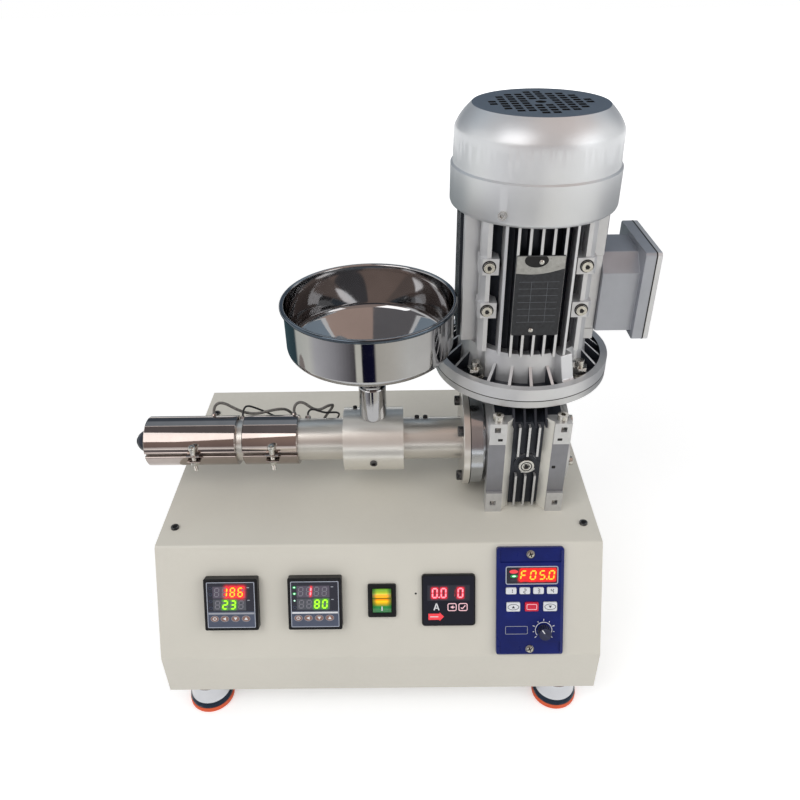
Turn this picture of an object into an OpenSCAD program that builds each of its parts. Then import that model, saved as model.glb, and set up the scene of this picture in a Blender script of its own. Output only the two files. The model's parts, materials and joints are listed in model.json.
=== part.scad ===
// Benchtop filament extruder: a screw in a heated barrel, turned through a worm
// gearbox by an upright flange motor, on a sheet steel control cabinet.
// Sizes are in millimetres. X runs right, Y to the back and Z up from the floor.

/* [Cabinet] */
// Width of the cabinet
cabinet_w = 400; // [390:5:440]
// Depth of the cabinet
cabinet_d = 300; // [290:5:340]
// Height of the upright band below the sloping panel
band_h = 46; // [40:1:60]
// Length of the sloping panel, measured up the slope
slope_len = 106; // [104:1:120]
// How far the sloping panel leans back from upright, in degrees
slope_lean = 25.8; // [20:0.2:30]
// Thickness of the sheet steel
sheet_t = 1.5; // [1:0.1:2]

/* [Feet] */
// Height of a foot
foot_h = 30; // [24:1:40]
// Radius of a foot at the floor
foot_r = 21; // [18:0.5:24]
// Distance from the cabinet's side to a foot's centre
foot_side = 32.5; // [28:0.5:50]
// Distance from the cabinet's front or back to a foot's centre
foot_front = 17; // [15:0.5:18]

/* [Instruments] */
// Side of a square panel instrument
meter_w = 48; // [46:1:50]
// How far a temperature controller's bezel stands out
controller_proud = 8; // [5:0.5:10]
// How far the ammeter's bezel stands out
ammeter_proud = 3; // [2:0.5:5]
// Width of the motor speed panel
drive_w = 60; // [58:1:64]
// Height of the motor speed panel
drive_h = 100; // [96:1:102]
// How far the motor speed panel stands out
drive_proud = 6; // [5:0.5:8]
// Radius of the speed knob
knob_r = 5.7; // [5:0.1:6]
// Width of the rocker switch
switch_w = 25.4; // [25:0.2:28]
// Height of the rocker switch
switch_h = 30.8; // [30:0.2:34]

/* [Gearbox] */
// Distance from the cabinet's right side to the gearbox's middle
gear_side = 65.5; // [60:0.5:75]
// Place of the gearbox's front face behind the cabinet's front
gear_y = 87.5; // [80:0.5:100]
// Width of the gearbox along the screw
gear_w = 71; // [70:1:78]
// Distance from the screw's axis to the gearbox's foot and front
gear_reach = 50; // [50:0.5:54]
// Module of the worm gear
gear_module = 2; // [1.96:0.01:2.02]

/* [Motor] */
// Radius of the motor's flange
flange_r = 80; // [78:1:84]
// Radius of the bolt circle in the flange
flange_bolt_r = 65; // [64.5:0.5:66.5]
// Radius of the motor's shaft
shaft_r = 7; // [6.5:0.1:7.2]
// Radius over the motor's cooling fins
fin_r = 65; // [62:0.5:66]
// Height of the finned frame
frame_h = 117.5; // [110:0.5:130]
// Height of the fan cowl
cowl_h = 78.6; // [74:0.2:84]

/* [Barrel] */
// Outer radius of the barrel
barrel_r = 20; // [18:0.25:20.5]
// Radius of the barrel's bore
bore_r = 8; // [7.5:0.1:8.4]
// Distance from the adapter to the feed collar
collar_back = 60.9; // [60:0.1:66]
// Distance from the feed collar to the rear heater band
heater_back = 43.2; // [40:0.1:50]
// Outer radius of a heater band
heater_r = 23.5; // [23:0.1:25]
// Length of the front heater band
front_heater_len = 85.3; // [80:0.1:86]
// Length of the rear heater band
rear_heater_len = 51.4; // [45:0.1:53]
// Outer radius of the feed collar
collar_r = 30; // [28:0.5:32]
// Width of the feed collar
collar_w = 55.9; // [50:0.1:58]
// Radius of the filament outlet
outlet_r = 0.9; // [0.6:0.05:1.5]

/* [Hopper] */
// Radius of the hopper inside its rim
hopper_r = 71.5; // [65:0.5:72]
// Height of the hopper's upright wall
hopper_wall_h = 36.6; // [30:0.2:45]
// Height of the hopper's cone
hopper_cone_h = 44; // [40:0.5:50]
// Outer radius of the hopper's spout
spout_r = 10.5; // [9.5:0.1:11]

/* [Hidden] */

$fn = 48;
// Overrun of a cut past the face that it opens
cut = 1;
// Gap between pieces that are fitted together and stay put
seat_gap = 0.1;
// Radial gap of a shaft that turns in its bearing
run_gap = 0.05;
// Gap round a piece that slides by hand
slide_gap = 0.3;

// Cabinet places
knee_z = foot_h + band_h;
top_z = knee_z + slope_len * cos(slope_lean);
crease_y = slope_len * sin(slope_lean);
flap_w = 22;
// Screws of the cabinet: an M4 with a low round head
screw_r = 2;
screw_head_r = 3.6;
screw_head_h = 1.8;
screw_len = 8;
top_screw_x = cabinet_w / 2 - flap_w / 2 - sheet_t;
top_screw_front_y = crease_y + flap_w + screw_r;
top_screw_back_y = cabinet_d - flap_w * 2;
rear_screw_low_z = foot_h + flap_w;
rear_screw_high_z = top_z - flap_w;
// Vents in the rear panel
vent_w = 46;
vent_h = 4;
vent_pitch = 9;
vent_rows = 7;
vent_x = cabinet_w / 4;
vent_z = foot_h + band_h + vent_h;
// Power inlet in the rear panel
inlet_x = cabinet_w / 4;
inlet_z = foot_h + flap_w * 1.3;
inlet_w = 50;
inlet_h = 28;
inlet_t = 3;
inlet_body_w = 28;
inlet_body_h = 20.4;
inlet_depth = 22;
inlet_wall = 2;
pin_w = 2;
pin_h = 4.5;
pin_len = 12;
pin_gap = 7;
// Relays on the base plate
relay_w = 45;
relay_d = 60;
relay_h = 23;
relay_pitch = 80;
relay_x = -60;
relay_y = cabinet_d - flap_w * 3;

// Feet: a chrome cup on a soft pad, held by one bolt
pad_h = 5;
cup_band_h = 6;
cup_r = foot_r - 1.5 * sheet_t;
cup_top_r = cup_r - 1.2 * sheet_t;
pad_hole_r = foot_r * 0.62;
foot_bolt_r = 4;
foot_bolt_head_r = 7;
foot_bolt_head_h = 5;
foot_nut_h = 6.5;

// Instruments, placed across the cabinet and up the slope
row_s = slope_len * 0.513;
left_meter_x = -cabinet_w * 0.3295;
right_meter_x = -cabinet_w * 0.1425;
switch_x = cabinet_w * 0.0065;
ammeter_x = cabinet_w * 0.15575;
drive_x = cabinet_w * 0.3375;
drive_s = slope_len * 0.499;
body_w = meter_w * 14 / 15;
controller_depth = 78;
ammeter_depth = 52;
bezel_corner_r = 1.5;
ammeter_corner_r = 3;
window_w = 41.6;
window_h = 27;
window_t = 1;
window_rise = 7.2;
clamp_wall = 3;
clamp_len = 12;
pinhole_r = 1;
pinhole_x = ammeter_x - meter_w * 0.61;
pinhole_s = row_s + meter_w * 0.11;
// Rocker switch
frame_proud = 3;
rocker_w = 16.6;
rocker_r = 12;
rocker_half = 10.8;
rocker_dip = 8;
rocker_depth = sqrt(rocker_r * rocker_r - rocker_half * rocker_half);
rocker_crown = rocker_depth + 0.25 * frame_proud;
rocker_n = frame_proud - rocker_depth;
rocker_pin_r = 1.2;
rocker_pin_len = 1.5;
switch_lip = 2;
switch_body_w = switch_w - 2 * switch_lip;
switch_body_h = switch_h - 1.5 * switch_lip;
switch_depth = 26;
// Motor speed panel
drive_corner_r = 2.5;
drive_bevel = 3;
drive_land_h = 13;
drive_step = 1.2;
drive_body_w = drive_w * 13 / 15;
drive_body_h = drive_h * 0.7;
drive_body_depth = 24;
drive_window_w = 45;
drive_window_h = 15.2;
drive_window_s = 25.2;
drive_window_t = 1.2;
key_depth = 4;
key_proud = 1.4;
key_rest_gap = 0.8;
key_slack = 0.2;
key_corner_r = 1.2;
small_key_w = 9.4;
small_key_h = 6;
big_key_w = 12.2;
big_key_h = 8.4;
small_key_s = 11.2;
big_key_s = -3.7;
small_key_first = -17.3;
small_key_pitch = 12.15;
big_key_pitch = 16.4;
big_key_middle = 1.1;
knob_x = 12.1;
knob_s = -26.1;
knob_h = 9;
knob_shaft_r = 3;
knob_shaft_len = 5;
knob_grooves = 18;
knob_groove_r = 0.45;
drive_screw_s = 44.2;

// Gearbox places: the screw's axis runs along X, the worm's along Z behind it
gear_x = cabinet_w / 2 - gear_side;
axis_y = gear_y + gear_reach;
axis_z = top_z + gear_reach;
wheel_teeth = 30;
worm_pitch_r = 5 * gear_module;
wheel_pitch_r = wheel_teeth * gear_module / 2;
centre_distance = worm_pitch_r + wheel_pitch_r;
worm_y = axis_y + centre_distance;
lead = PI * gear_module;
lead_angle = atan(gear_module / (2 * worm_pitch_r));
tooth_play = 0.1 * gear_module;
pressure_tan = tan(20);
wheel_w = 22;
worm_len = 36;
worm_steps = 18;
worm_slices = 14;
flight_slices = 12;
tip_share = 1;
root_share = 1.2;
worm_tip_r = worm_pitch_r + tip_share * gear_module;
worm_root_r = worm_pitch_r - root_share * gear_module;
wheel_tip_r = wheel_pitch_r + tip_share * gear_module;
wheel_root_r = wheel_pitch_r - root_share * gear_module;
// Bearing rings: inner radius, outer radius and width
wheel_ring = [12.5, 23.5, 12];
worm_top_ring = [12.5, 21, 9];
worm_low_ring = [7.5, 17.5, 11];
motor_ring = [7.5, 17.5, 11];
thrust_ring = [10, 17.5, 9];
seal_w = 4.6;
cast_wall = 6;
gear_back = 71.5;
gear_top = 59.5;
column_w = 15;
column_d = 14;
pad_len = 22;
pad_step = 3;
strip_w = 7;
recess_d = 10;
gear_fins = 3;
gear_fin_pitch = 8.6;
gear_fin_t = 2;
gear_fin_d = 6;
plug_r = 7;
plug_h = 4;
cavity_r = wheel_tip_r + gear_module;
hub_wall = 5;
hub_wall_x = wheel_w / 2 + hub_wall;
wheel_seat_x = hub_wall_x + hub_wall / 5;
tower_r = worm_top_ring[1] + cast_wall;
worm_room_r = worm_tip_r + gear_module;
worm_seat_low = -30;
worm_seat_high = 27;
worm_hub_r = worm_top_ring[0] - run_gap;
shaft_reach = 23;
cover_r = 41;
cover_t = 4;
cover_screw_r = 2.5;
cover_screw_head_r = 4.2;
cover_screw_head_h = 3;
cover_screws = 6;
// Input flange of the gearbox
flange_t = 7;
flange_z = top_z + gear_reach + gear_top;
flange_face_z = flange_z + flange_t;
spigot_r = 55;
spigot_h = 3;
bolt_hole_r = 5;
bolt_r = 4;
bolt_head_r = 6.8;
bolt_head_h = 5.3;
nut_h = 9.5;

// Motor, measured up from the face of its flange
rim_h = 11.4;
dish_t = 6;
rim_w = 6.5;
cone_low_r = 60;
cone_top_r = 57.5;
cone_wall = 5;
shield_h = 33.5;
rib_step = 15;
rib_t = 2.6;
shield_hub_h = 19;
frame_z = flange_face_z + shield_h;
frame_top_z = frame_z + frame_h;
frame_core_r = 50;
stator_r = 43;
stator_len = 60;
stator_z = frame_z + frame_h * 0.18;
winding_h = 12;
rotor_r = 26.6;
air_gap = 0.4;
frame_root_r = frame_core_r * 0.96;
rail_out = 46;
rail_in = 38;
rail_face = 50;
rail_back = 34;
boss_in = 31.5;
boss_out = 47.5;
boss_face = 51.5;
boss_r = 68.3;
boss_h = 14;
boss_screw_r = 2.5;
boss_screw_len = 8;
boss_head_r = 4.4;
boss_head_h = 2.6;
boss_low = frame_h * 0.337;
boss_high = frame_h * 0.669;
frame_fin_pitch = 9.3;
frame_fins = 7;
frame_fin_t = 2.2;
frame_flat = 61.5;
rear_shield_t = 10.5;
rear_rim_h = 3;
fan_h = 20;
fan_z = frame_top_z + 0.7 * fan_h;
fan_r = 54;
fan_hub_r = 12;
fan_blades = 6;
fan_blade_t = 2.2;
fan_shaft_r = 6;
// Cowl: lower band, step, upper band and slope
cowl_t = 1.3;
cowl_gap = 0.4;
cowl_swell = 2.9;
cowl_step = 2.3;
cowl_z = frame_top_z - cowl_t - slide_gap;
cowl_lip_r = fin_r + cowl_t + cowl_gap;
cowl_band_r = cowl_lip_r + cowl_swell;
cowl_band_share = 0.417;
cowl_shoulder_share = 0.775;
cowl_upper_r = cowl_band_r - cowl_step;
cowl_top_r = cowl_band_r * 0.777;
cowl_lip_h = 3.5;
grille_pitch = 8.4;
grille_hole = 6;
grille_r = 39;
grille_centre_r = 4.4;
cowl_screw_h = 9;
cowl_screw_len = 12;
// Terminal box on the motor's right side
box_gap = 0.4;
box_face_x = 104;
lid_w = 81;
lid_h = 80;
lid_t = 4.8;
box_rim_t = 9.4;
box_w = 68;
box_body_h = 68;
box_chamfer = 14;
box_z = frame_z + frame_h * 3 / 8;
box_wall = 3;
box_neck_x = 58;

// Barrel, from its flange leftwards
adapter_t = 11.5;
adapter_r = 43;
adapter_neck_r = 34;
adapter_x = gear_x - gear_w / 2 - adapter_t - pad_step;
collar_x = adapter_x - collar_back - collar_w;
throat_x = collar_x + collar_w / 2;
barrel_flange_t = 6.3;
barrel_flange_r = 44;
heater_space = 6.3;
rear_heater_x = collar_x - heater_back - rear_heater_len;
front_heater_x = rear_heater_x - heater_space - front_heater_len;
barrel_end_x = front_heater_x;
barrel_len = adapter_x - barrel_flange_t - barrel_end_x;
bolt_circle_r = 36;
barrel_bolt_r = 3;
barrel_bolt_head_r = 4.8;
barrel_bolt_head_h = 5;
screw_tip_r = bore_r - seat_gap;
screw_root_r = bore_r * 0.62;
screw_pitch = 16;
screw_land_share = 0.11;
screw_tip_gap = 3;
shank_r = 9;
thrust_collar_r = 15;
thrust_collar_t = 4;
thrust_x = thrust_collar_t + 2 * slide_gap;
nozzle_r = 11.8;
nozzle_h = 13;
nozzle_tip_r = 3.2;
nozzle_plug_len = 12;
heater_wall = heater_r - barrel_r - seat_gap;
heater_slot = 5;
ear_h = 10.6;
ear_t = 1.2;
ear_w = 12;
front_ear_share = 0.553;
rear_ear_share = 0.56;
front_exit_share = 0.709;
rear_exit_share = 0.893;
clamp_r = 2;
clamp_head_r = 3.6;
clamp_head_h = 4;
clamp_up = 10;
clamp_down = 14;
throat_r = 7.5;
tube_wall = 1.7;
tube_r = spout_r + slide_gap + tube_wall;
tube_seat_z = 21.5;
tube_top_z = 60.5;
spout_seat_z = 26;
set_screw_r = 3.4;
set_screw_proud = 1.6;
set_screw_angle = 14;
// Hopper, measured up from the screw's axis
hopper_t = 1.2;
bead_r = 2;
cone_z = 65;
cone_top_z = cone_z + hopper_cone_h;
rim_z = cone_top_z + hopper_wall_h;
hopper_corner_r = 8;

// Leads, from a band or probe to below the grommet. Their points are measured from the
// screw's axis and from a place that lies lead_zero left of the adapter.
lead_zero = 84.5;
lead_r = 1.4;
probe_lead_r = 1;
lead_sides = 8;
probe_r = 1.5;
probe_gap = 8;
probe_angle = 32;
probe_depth = 5;
probe_proud = 3;
exit_angle = 35;
exit_r = 2.4;
exit_reach = 2.5;
grommet_left = 146.5;
grommet_back = 52.5;
grommet_x = adapter_x - grommet_left;
grommet_y = axis_y + grommet_back;
grommet_r = 9;
grommet_hole_r = 5.5;
grommet_t = 5;
front_lead_points = [
    [-158,14.9,21.3], [-158,16.6,23.8], [-157,18.7,26.7], [-154.5,20,28.7],
    [-150.8,20.4,29.2], [-146,20,27.9], [-141,19.4,25], [-135,19,21.6],
    [-129,18.8,19], [-122.5,18.7,17.8], [-116,18.7,18], [-109,18.8,19.6],
    [-102,19,21.2], [-96,20.5,21.2], [-91.5,24,18.6], [-88.5,28.5,13.5],
    [-85.5,33,6], [-81.5,37.5,-3], [-77,41.5,-13], [-72,45.3,-23],
    [-67.8,48.5,-34], [-65.3,50.4,-44], [-64.6,51,-56]
];
rear_lead_points = [
    [-81,14.9,21.3], [-81,16.6,23.8], [-80,18.6,26.5], [-77.6,19.9,28.4],
    [-74.2,20.4,28.8], [-70.4,20.3,27.2], [-66.8,20.1,24.2], [-63,19.9,21.6],
    [-58.5,19.7,20.6], [-54,19.9,21.8], [-49.8,21,23.6], [-46.2,23.8,23],
    [-45,28.3,19.5], [-47,32.4,13.3], [-51,35.8,6], [-55.5,39,-2.5],
    [-59,42.5,-12], [-60.8,46,-23], [-60.4,49.3,-34], [-59.6,50.8,-45],
    [-59.4,51,-56]
];
front_probe_points = [
    [-130,12.2,19.5], [-130,13.3,21.2], [-129.5,15.4,23.7], [-128,19,25.2],
    [-125.5,22.8,23.6], [-122,26.3,19.8], [-117,30,14.5], [-111,34,8],
    [-104,38,0.5], [-96,42,-7.5], [-88,46,-16], [-79.5,50,-24.5],
    [-71.8,53.5,-33], [-66.3,55.2,-42], [-63.8,55.5,-56]
];
rear_probe_points = [
    [-67.5,12.2,19.5], [-67.5,13.3,21.2], [-65.8,15.2,23.2], [-62,16,23.3],
    [-57.5,16,21.6], [-51.5,16.2,19.6], [-45.5,18,18.4], [-41,22,15.5],
    [-39.5,27.5,10], [-41,33,3], [-44.5,38.5,-5.5], [-49,44,-15],
    [-53.6,49.2,-26], [-57.6,53.2,-37], [-59.8,55.2,-47], [-60.2,55.5,-56]
];

// Outermost places of the whole machine, which set its origin
lid_face_x = gear_x + box_face_x;
nozzle_face_x = barrel_end_x - nozzle_h;
foot_face_y = foot_front - foot_r;
drive_low_s = drive_s - drive_h / 2;
drive_face_y = drive_low_s * sin(slope_lean) - drive_proud * cos(slope_lean);
knob_face_y = (drive_s + knob_s - knob_r) * sin(slope_lean)
    - (drive_proud + slide_gap + knob_h) * cos(slope_lean);
middle_x = (lid_face_x + nozzle_face_x) / 2;
middle_y = (min(foot_face_y, drive_face_y, knob_face_y)
    + cabinet_d + max(inlet_t, -foot_face_y)) / 2;

// Puts a child from machine places into the part's frame
module placed() { translate([-middle_x, -middle_y, 0]) children(); }
// Extrudes an outline drawn in Y and Z across X, centred
module across(w) { rotate([90, 0, 90]) linear_extrude(w, center = true) children(); }
// Extrudes an outline drawn in X and Z towards the back
module backwards(d) { translate([0, d, 0]) rotate([90, 0, 0]) linear_extrude(d) children(); }
// A frame on the sloping panel: X right, Y up the slope, Z out of the panel
module on_slope(x, s) {
    translate([x, s * sin(slope_lean), knee_z + s * cos(slope_lean)])
        rotate([90 - slope_lean, 0, 0]) children();
}
// A frame on the screw's axis whose Z runs right along it
module on_screw(x) { translate([x, axis_y, axis_z]) rotate([0, 90, 0]) children(); }
// A frame on the worm's and motor's axis
module on_motor(z) { translate([gear_x, worm_y, z]) children(); }
// The space of a round hole through a plate that stands on Z = 0
module drill(r, h) { translate([0, 0, -cut]) cylinder(r = r, h = h + 2 * cut); }
module tube(r_out, r_in, h) {
    difference() {
        cylinder(r = r_out, h = h);
        drill(r_in, h);
    }
}
module rounded(w, h, r) {
    square([w - 2 * r, h], center = true);
    square([w, h - 2 * r], center = true);
    for (i = [-1, 1], j = [-1, 1]) translate([i * (w / 2 - r), j * (h / 2 - r)]) circle(r);
}
// A round-headed screw whose head sits on Z = 0 and whose shank points down
module headed(r, shank, head_r, head_h) {
    difference() {
        union() {
            translate([0, 0, -shank]) cylinder(r = r, h = shank);
            cylinder(r = head_r, h = head_h);
        }
        translate([0, 0, head_h * 0.4]) cylinder(r = head_r * 0.5, h = head_h, $fn = 6);
    }
}
module ring_bearing(size) {
    groove = (size[1] - size[0]) * 0.28;
    depth = size[2] * 0.08;
    rotate_extrude() polygon([
        [size[0], 0], [size[0] + groove, 0], [size[0] + groove, depth],
        [size[1] - groove, depth], [size[1] - groove, 0], [size[1], 0],
        [size[1], size[2]], [size[1] - groove, size[2]], [size[1] - groove, size[2] - depth],
        [size[0] + groove, size[2] - depth], [size[0] + groove, size[2]], [size[0], size[2]]
    ]);
}

// Cabinet
function sheet_line(inset) = [
    [inset, foot_h],
    [inset, knee_z - inset * tan(slope_lean / 2)],
    [crease_y + inset * tan((90 - slope_lean) / 2), top_z - inset],
    [cabinet_d, top_z - inset]
];
function reversed(list) = [for (i = [len(list) - 1 : -1 : 0]) list[i]];

module slope_hole(x, s, w, h) {
    on_slope(x, s) translate([-w / 2, -h / 2, -sheet_t - cut]) cube([w, h, sheet_t + 2 * cut]);
}
module top_screw_places() {
    for (i = [-1, 1], y = [top_screw_front_y, top_screw_back_y])
        translate([i * top_screw_x, y, top_z]) children();
}
module rear_screw_places() {
    for (i = [-1, 1], z = [rear_screw_low_z, rear_screw_high_z])
        translate([i * top_screw_x, cabinet_d, z]) rotate([-90, 0, 0]) children();
}
module cabinet_shell() {
    color("antiquewhite") difference() {
        across(cabinet_w) polygon(concat(sheet_line(0), reversed(sheet_line(sheet_t))));
        for (x = [left_meter_x, right_meter_x, ammeter_x])
            slope_hole(x, row_s, body_w + seat_gap, body_w + seat_gap);
        slope_hole(switch_x, row_s, switch_body_w + seat_gap, switch_body_h + seat_gap);
        slope_hole(drive_x, drive_s, drive_body_w + seat_gap, drive_body_h + seat_gap);
        on_slope(pinhole_x, pinhole_s) translate([0, 0, -sheet_t]) drill(pinhole_r, sheet_t);
        top_screw_places() translate([0, 0, -sheet_t]) drill(screw_r + seat_gap, sheet_t);
        for (p = gear_foot_places()) translate([p[0], p[1], top_z - sheet_t])
            drill(bolt_r + seat_gap, sheet_t);
        translate([grommet_x, grommet_y, top_z - sheet_t])
            drill(grommet_r - grommet_t / 2 + seat_gap, sheet_t);
    }
}
module side_panels() {
    color("antiquewhite") difference() {
        for (i = [-1, 1]) {
            translate([i * (cabinet_w / 2 - sheet_t / 2), 0, 0]) across(sheet_t)
                polygon(concat(sheet_line(sheet_t), [[cabinet_d, foot_h]]));
            translate([i * (cabinet_w / 2 - flap_w / 2), 0, 0]) {
                translate([-flap_w / 2, crease_y + flap_w / 2, top_z - 2 * sheet_t])
                    cube([flap_w, cabinet_d - crease_y - flap_w / 2 - sheet_t, sheet_t]);
                translate([-flap_w / 2, flap_w, foot_h + sheet_t])
                    cube([flap_w, cabinet_d - flap_w - sheet_t, sheet_t]);
                translate([-flap_w / 2, cabinet_d - 2 * sheet_t, foot_h + sheet_t])
                    cube([flap_w, sheet_t, top_z - foot_h - 2 * sheet_t]);
            }
        }
        top_screw_places() translate([0, 0, -2 * sheet_t]) drill(screw_r + seat_gap, sheet_t);
        rear_screw_places() translate([0, 0, -2 * sheet_t]) drill(screw_r + seat_gap, sheet_t);
    }
}
module base_plate() {
    inner_w = cabinet_w - 2 * sheet_t;
    color("antiquewhite") difference() {
        union() {
            translate([-inner_w / 2, sheet_t, foot_h])
                cube([inner_w, cabinet_d - 2 * sheet_t, sheet_t]);
            translate([-inner_w / 2, sheet_t, foot_h]) cube([inner_w, sheet_t, flap_w]);
        }
        foot_places() translate([0, 0, foot_h]) drill(foot_bolt_r + seat_gap, sheet_t);
    }
}
module rear_panel() {
    color("antiquewhite") difference() {
        translate([sheet_t - cabinet_w / 2, cabinet_d - sheet_t, foot_h])
            cube([cabinet_w - 2 * sheet_t, sheet_t, top_z - foot_h - sheet_t]);
        for (i = [-1, 1], row = [0 : vent_rows - 1])
            translate([i * vent_x - vent_w / 2, cabinet_d - sheet_t - cut, vent_z + row * vent_pitch])
                cube([vent_w, sheet_t + 2 * cut, vent_h]);
        translate([inlet_x - inlet_body_w / 2 - seat_gap, cabinet_d - sheet_t - cut,
            inlet_z - inlet_body_h / 2 - seat_gap])
            cube([inlet_body_w + 2 * seat_gap, sheet_t + 2 * cut, inlet_body_h + 2 * seat_gap]);
        rear_screw_places() translate([0, 0, -sheet_t]) drill(screw_r + seat_gap, sheet_t);
    }
}
module cabinet_screws() {
    color("dimgray") {
        top_screw_places() headed(screw_r, screw_len, screw_head_r, screw_head_h);
        rear_screw_places() headed(screw_r, screw_len, screw_head_r, screw_head_h);
        for (j = [-1, 1]) on_slope(drive_x, drive_s + j * drive_screw_s)
            translate([0, 0, drive_proud - drive_step])
                headed(screw_r, drive_proud / 2 - drive_step - seat_gap, screw_head_r, drive_step);
        foot_places() {
            translate([0, 0, foot_h + sheet_t]) cylinder(r = foot_bolt_head_r, h = foot_nut_h, $fn = 6);
            translate([0, 0, pad_h + cup_band_h - foot_bolt_head_h])
                cylinder(r = foot_bolt_head_r, h = foot_bolt_head_h);
            translate([0, 0, pad_h + cup_band_h])
                cylinder(r = foot_bolt_r, h = foot_h + sheet_t - pad_h - cup_band_h);
        }
    }
}
module foot_places() {
    for (i = [-1, 1], y = [foot_front, cabinet_d - foot_front])
        translate([i * (cabinet_w / 2 - foot_side), y, 0]) children();
}
module foot_cups() {
    floor_z = pad_h + cup_band_h;
    color("silver") foot_places() rotate_extrude() polygon([
        [foot_bolt_r + seat_gap, floor_z], [pad_hole_r, floor_z], [pad_hole_r, pad_h],
        [foot_r - sheet_t / 2, pad_h], [foot_r - sheet_t / 3, pad_h + cup_band_h * 0.4],
        [cup_r, floor_z], [cup_r * 0.975, floor_z + sheet_t / 2],
        [cup_top_r, foot_h - sheet_t], [cup_top_r - sheet_t, foot_h],
        [foot_bolt_r + seat_gap, foot_h]
    ]);
}
module foot_pads() {
    color("orangered") foot_places() rotate_extrude() polygon([
        [pad_hole_r, 0], [foot_r - sheet_t, 0], [foot_r, sheet_t / 2],
        [foot_r, pad_h - sheet_t / 2], [foot_r - sheet_t / 2, pad_h], [pad_hole_r, pad_h]
    ]);
}
module power_inlet() {
    color("black") translate([inlet_x, cabinet_d, inlet_z]) {
        difference() {
            union() {
                backwards(inlet_t) rounded(inlet_w, inlet_h, inlet_t);
                translate([-inlet_body_w / 2, -inlet_depth, -inlet_body_h / 2])
                    cube([inlet_body_w, inlet_depth, inlet_body_h]);
            }
            translate([inlet_wall - inlet_body_w / 2, inlet_wall - inlet_depth,
                inlet_wall - inlet_body_h / 2])
                cube([inlet_body_w - 2 * inlet_wall, inlet_depth + inlet_t, inlet_body_h - 2 * inlet_wall]);
        }
        for (i = [-1 : 1])
            translate([i * pin_gap - pin_w / 2, inlet_wall - inlet_depth, -pin_h / 2 - abs(i) * pin_w])
                cube([pin_w, pin_len, pin_h]);
    }
}
module heater_relays() {
    color("lightgray") for (i = [0, 1])
        translate([relay_x + i * relay_pitch, relay_y, foot_h + sheet_t]) difference() {
            translate([-relay_w / 2, -relay_d / 2, 0]) cube([relay_w, relay_d, relay_h]);
            for (j = [-1, 1]) translate([0, j * relay_d / 2, -cut])
                cylinder(r = relay_w * 0.1, h = relay_h + 2 * cut);
            for (j = [-1, 1], k = [-1, 1])
                translate([k * relay_w / 4 - relay_w / 6, j * relay_d * 0.36 - relay_d / 12, relay_h * 0.75])
                    cube([relay_w / 3, relay_d / 6, relay_h]);
        }
}

// Instruments
module controller_places() {
    for (x = [left_meter_x, right_meter_x]) on_slope(x, row_s) children();
}
module temperature_controllers() {
    color("black") controller_places() difference() {
        union() {
            linear_extrude(controller_proud) rounded(meter_w, meter_w, bezel_corner_r);
            translate([-body_w / 2, -body_w / 2, -controller_depth])
                cube([body_w, body_w, controller_depth]);
        }
        translate([-window_w / 2 - seat_gap, window_rise - window_h / 2 - seat_gap,
            controller_proud - window_t])
            cube([window_w + 2 * seat_gap, window_h + 2 * seat_gap, window_t + cut]);
    }
}
module controller_clamps() {
    outer = body_w + 2 * clamp_wall;
    color("dimgray") controller_places() difference() {
        translate([-outer / 2, -outer / 2, -sheet_t - clamp_len]) cube([outer, outer, clamp_len]);
        translate([-body_w / 2 - seat_gap, -body_w / 2 - seat_gap, -sheet_t - clamp_len - cut])
            cube([body_w + 2 * seat_gap, body_w + 2 * seat_gap, clamp_len + 2 * cut]);
    }
}
module ammeter() {
    color("black") on_slope(ammeter_x, row_s) {
        linear_extrude(ammeter_proud) rounded(meter_w, meter_w, ammeter_corner_r);
        translate([-body_w / 2, -body_w / 2, -ammeter_depth]) cube([body_w, body_w, ammeter_depth]);
    }
}
module switch_frame() {
    room_w = rocker_w + 2 * slide_gap;
    room_h = 2 * (rocker_half + slide_gap);
    color("black") on_slope(switch_x, row_s) difference() {
        union() {
            linear_extrude(frame_proud) rounded(switch_w, switch_h, bezel_corner_r);
            translate([-switch_body_w / 2, -switch_body_h / 2, -switch_depth])
                cube([switch_body_w, switch_body_h, switch_depth]);
        }
        translate([-room_w / 2, -room_h / 2, rocker_n]) cube([room_w, room_h, frame_proud * 3]);
        translate([-room_w / 2, 0, rocker_n]) rotate([0, 90, 0])
            cylinder(r = rocker_r + slide_gap, h = room_w);
        translate([-rocker_w / 2 - rocker_pin_len - slide_gap, 0, rocker_n]) rotate([0, 90, 0])
            cylinder(r = rocker_pin_r + run_gap, h = rocker_w + 2 * rocker_pin_len + 2 * slide_gap);
    }
}
module switch_rocker() {
    crest = rocker_crown + rocker_r * tan(rocker_dip);
    color("limegreen") on_slope(switch_x, row_s) translate([0, 0, rocker_n]) rotate([rocker_dip, 0, 0]) {
        across(rocker_w) intersection() {
            circle(rocker_r);
            polygon([[-rocker_r, crest], [0, rocker_crown], [rocker_r, crest],
                [rocker_r, -rocker_crown / 2], [-rocker_r, -rocker_crown / 2]]);
        }
        translate([-rocker_w / 2 - rocker_pin_len, 0, 0]) rotate([0, 90, 0])
            cylinder(r = rocker_pin_r, h = rocker_w + 2 * rocker_pin_len);
    }
}

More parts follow.
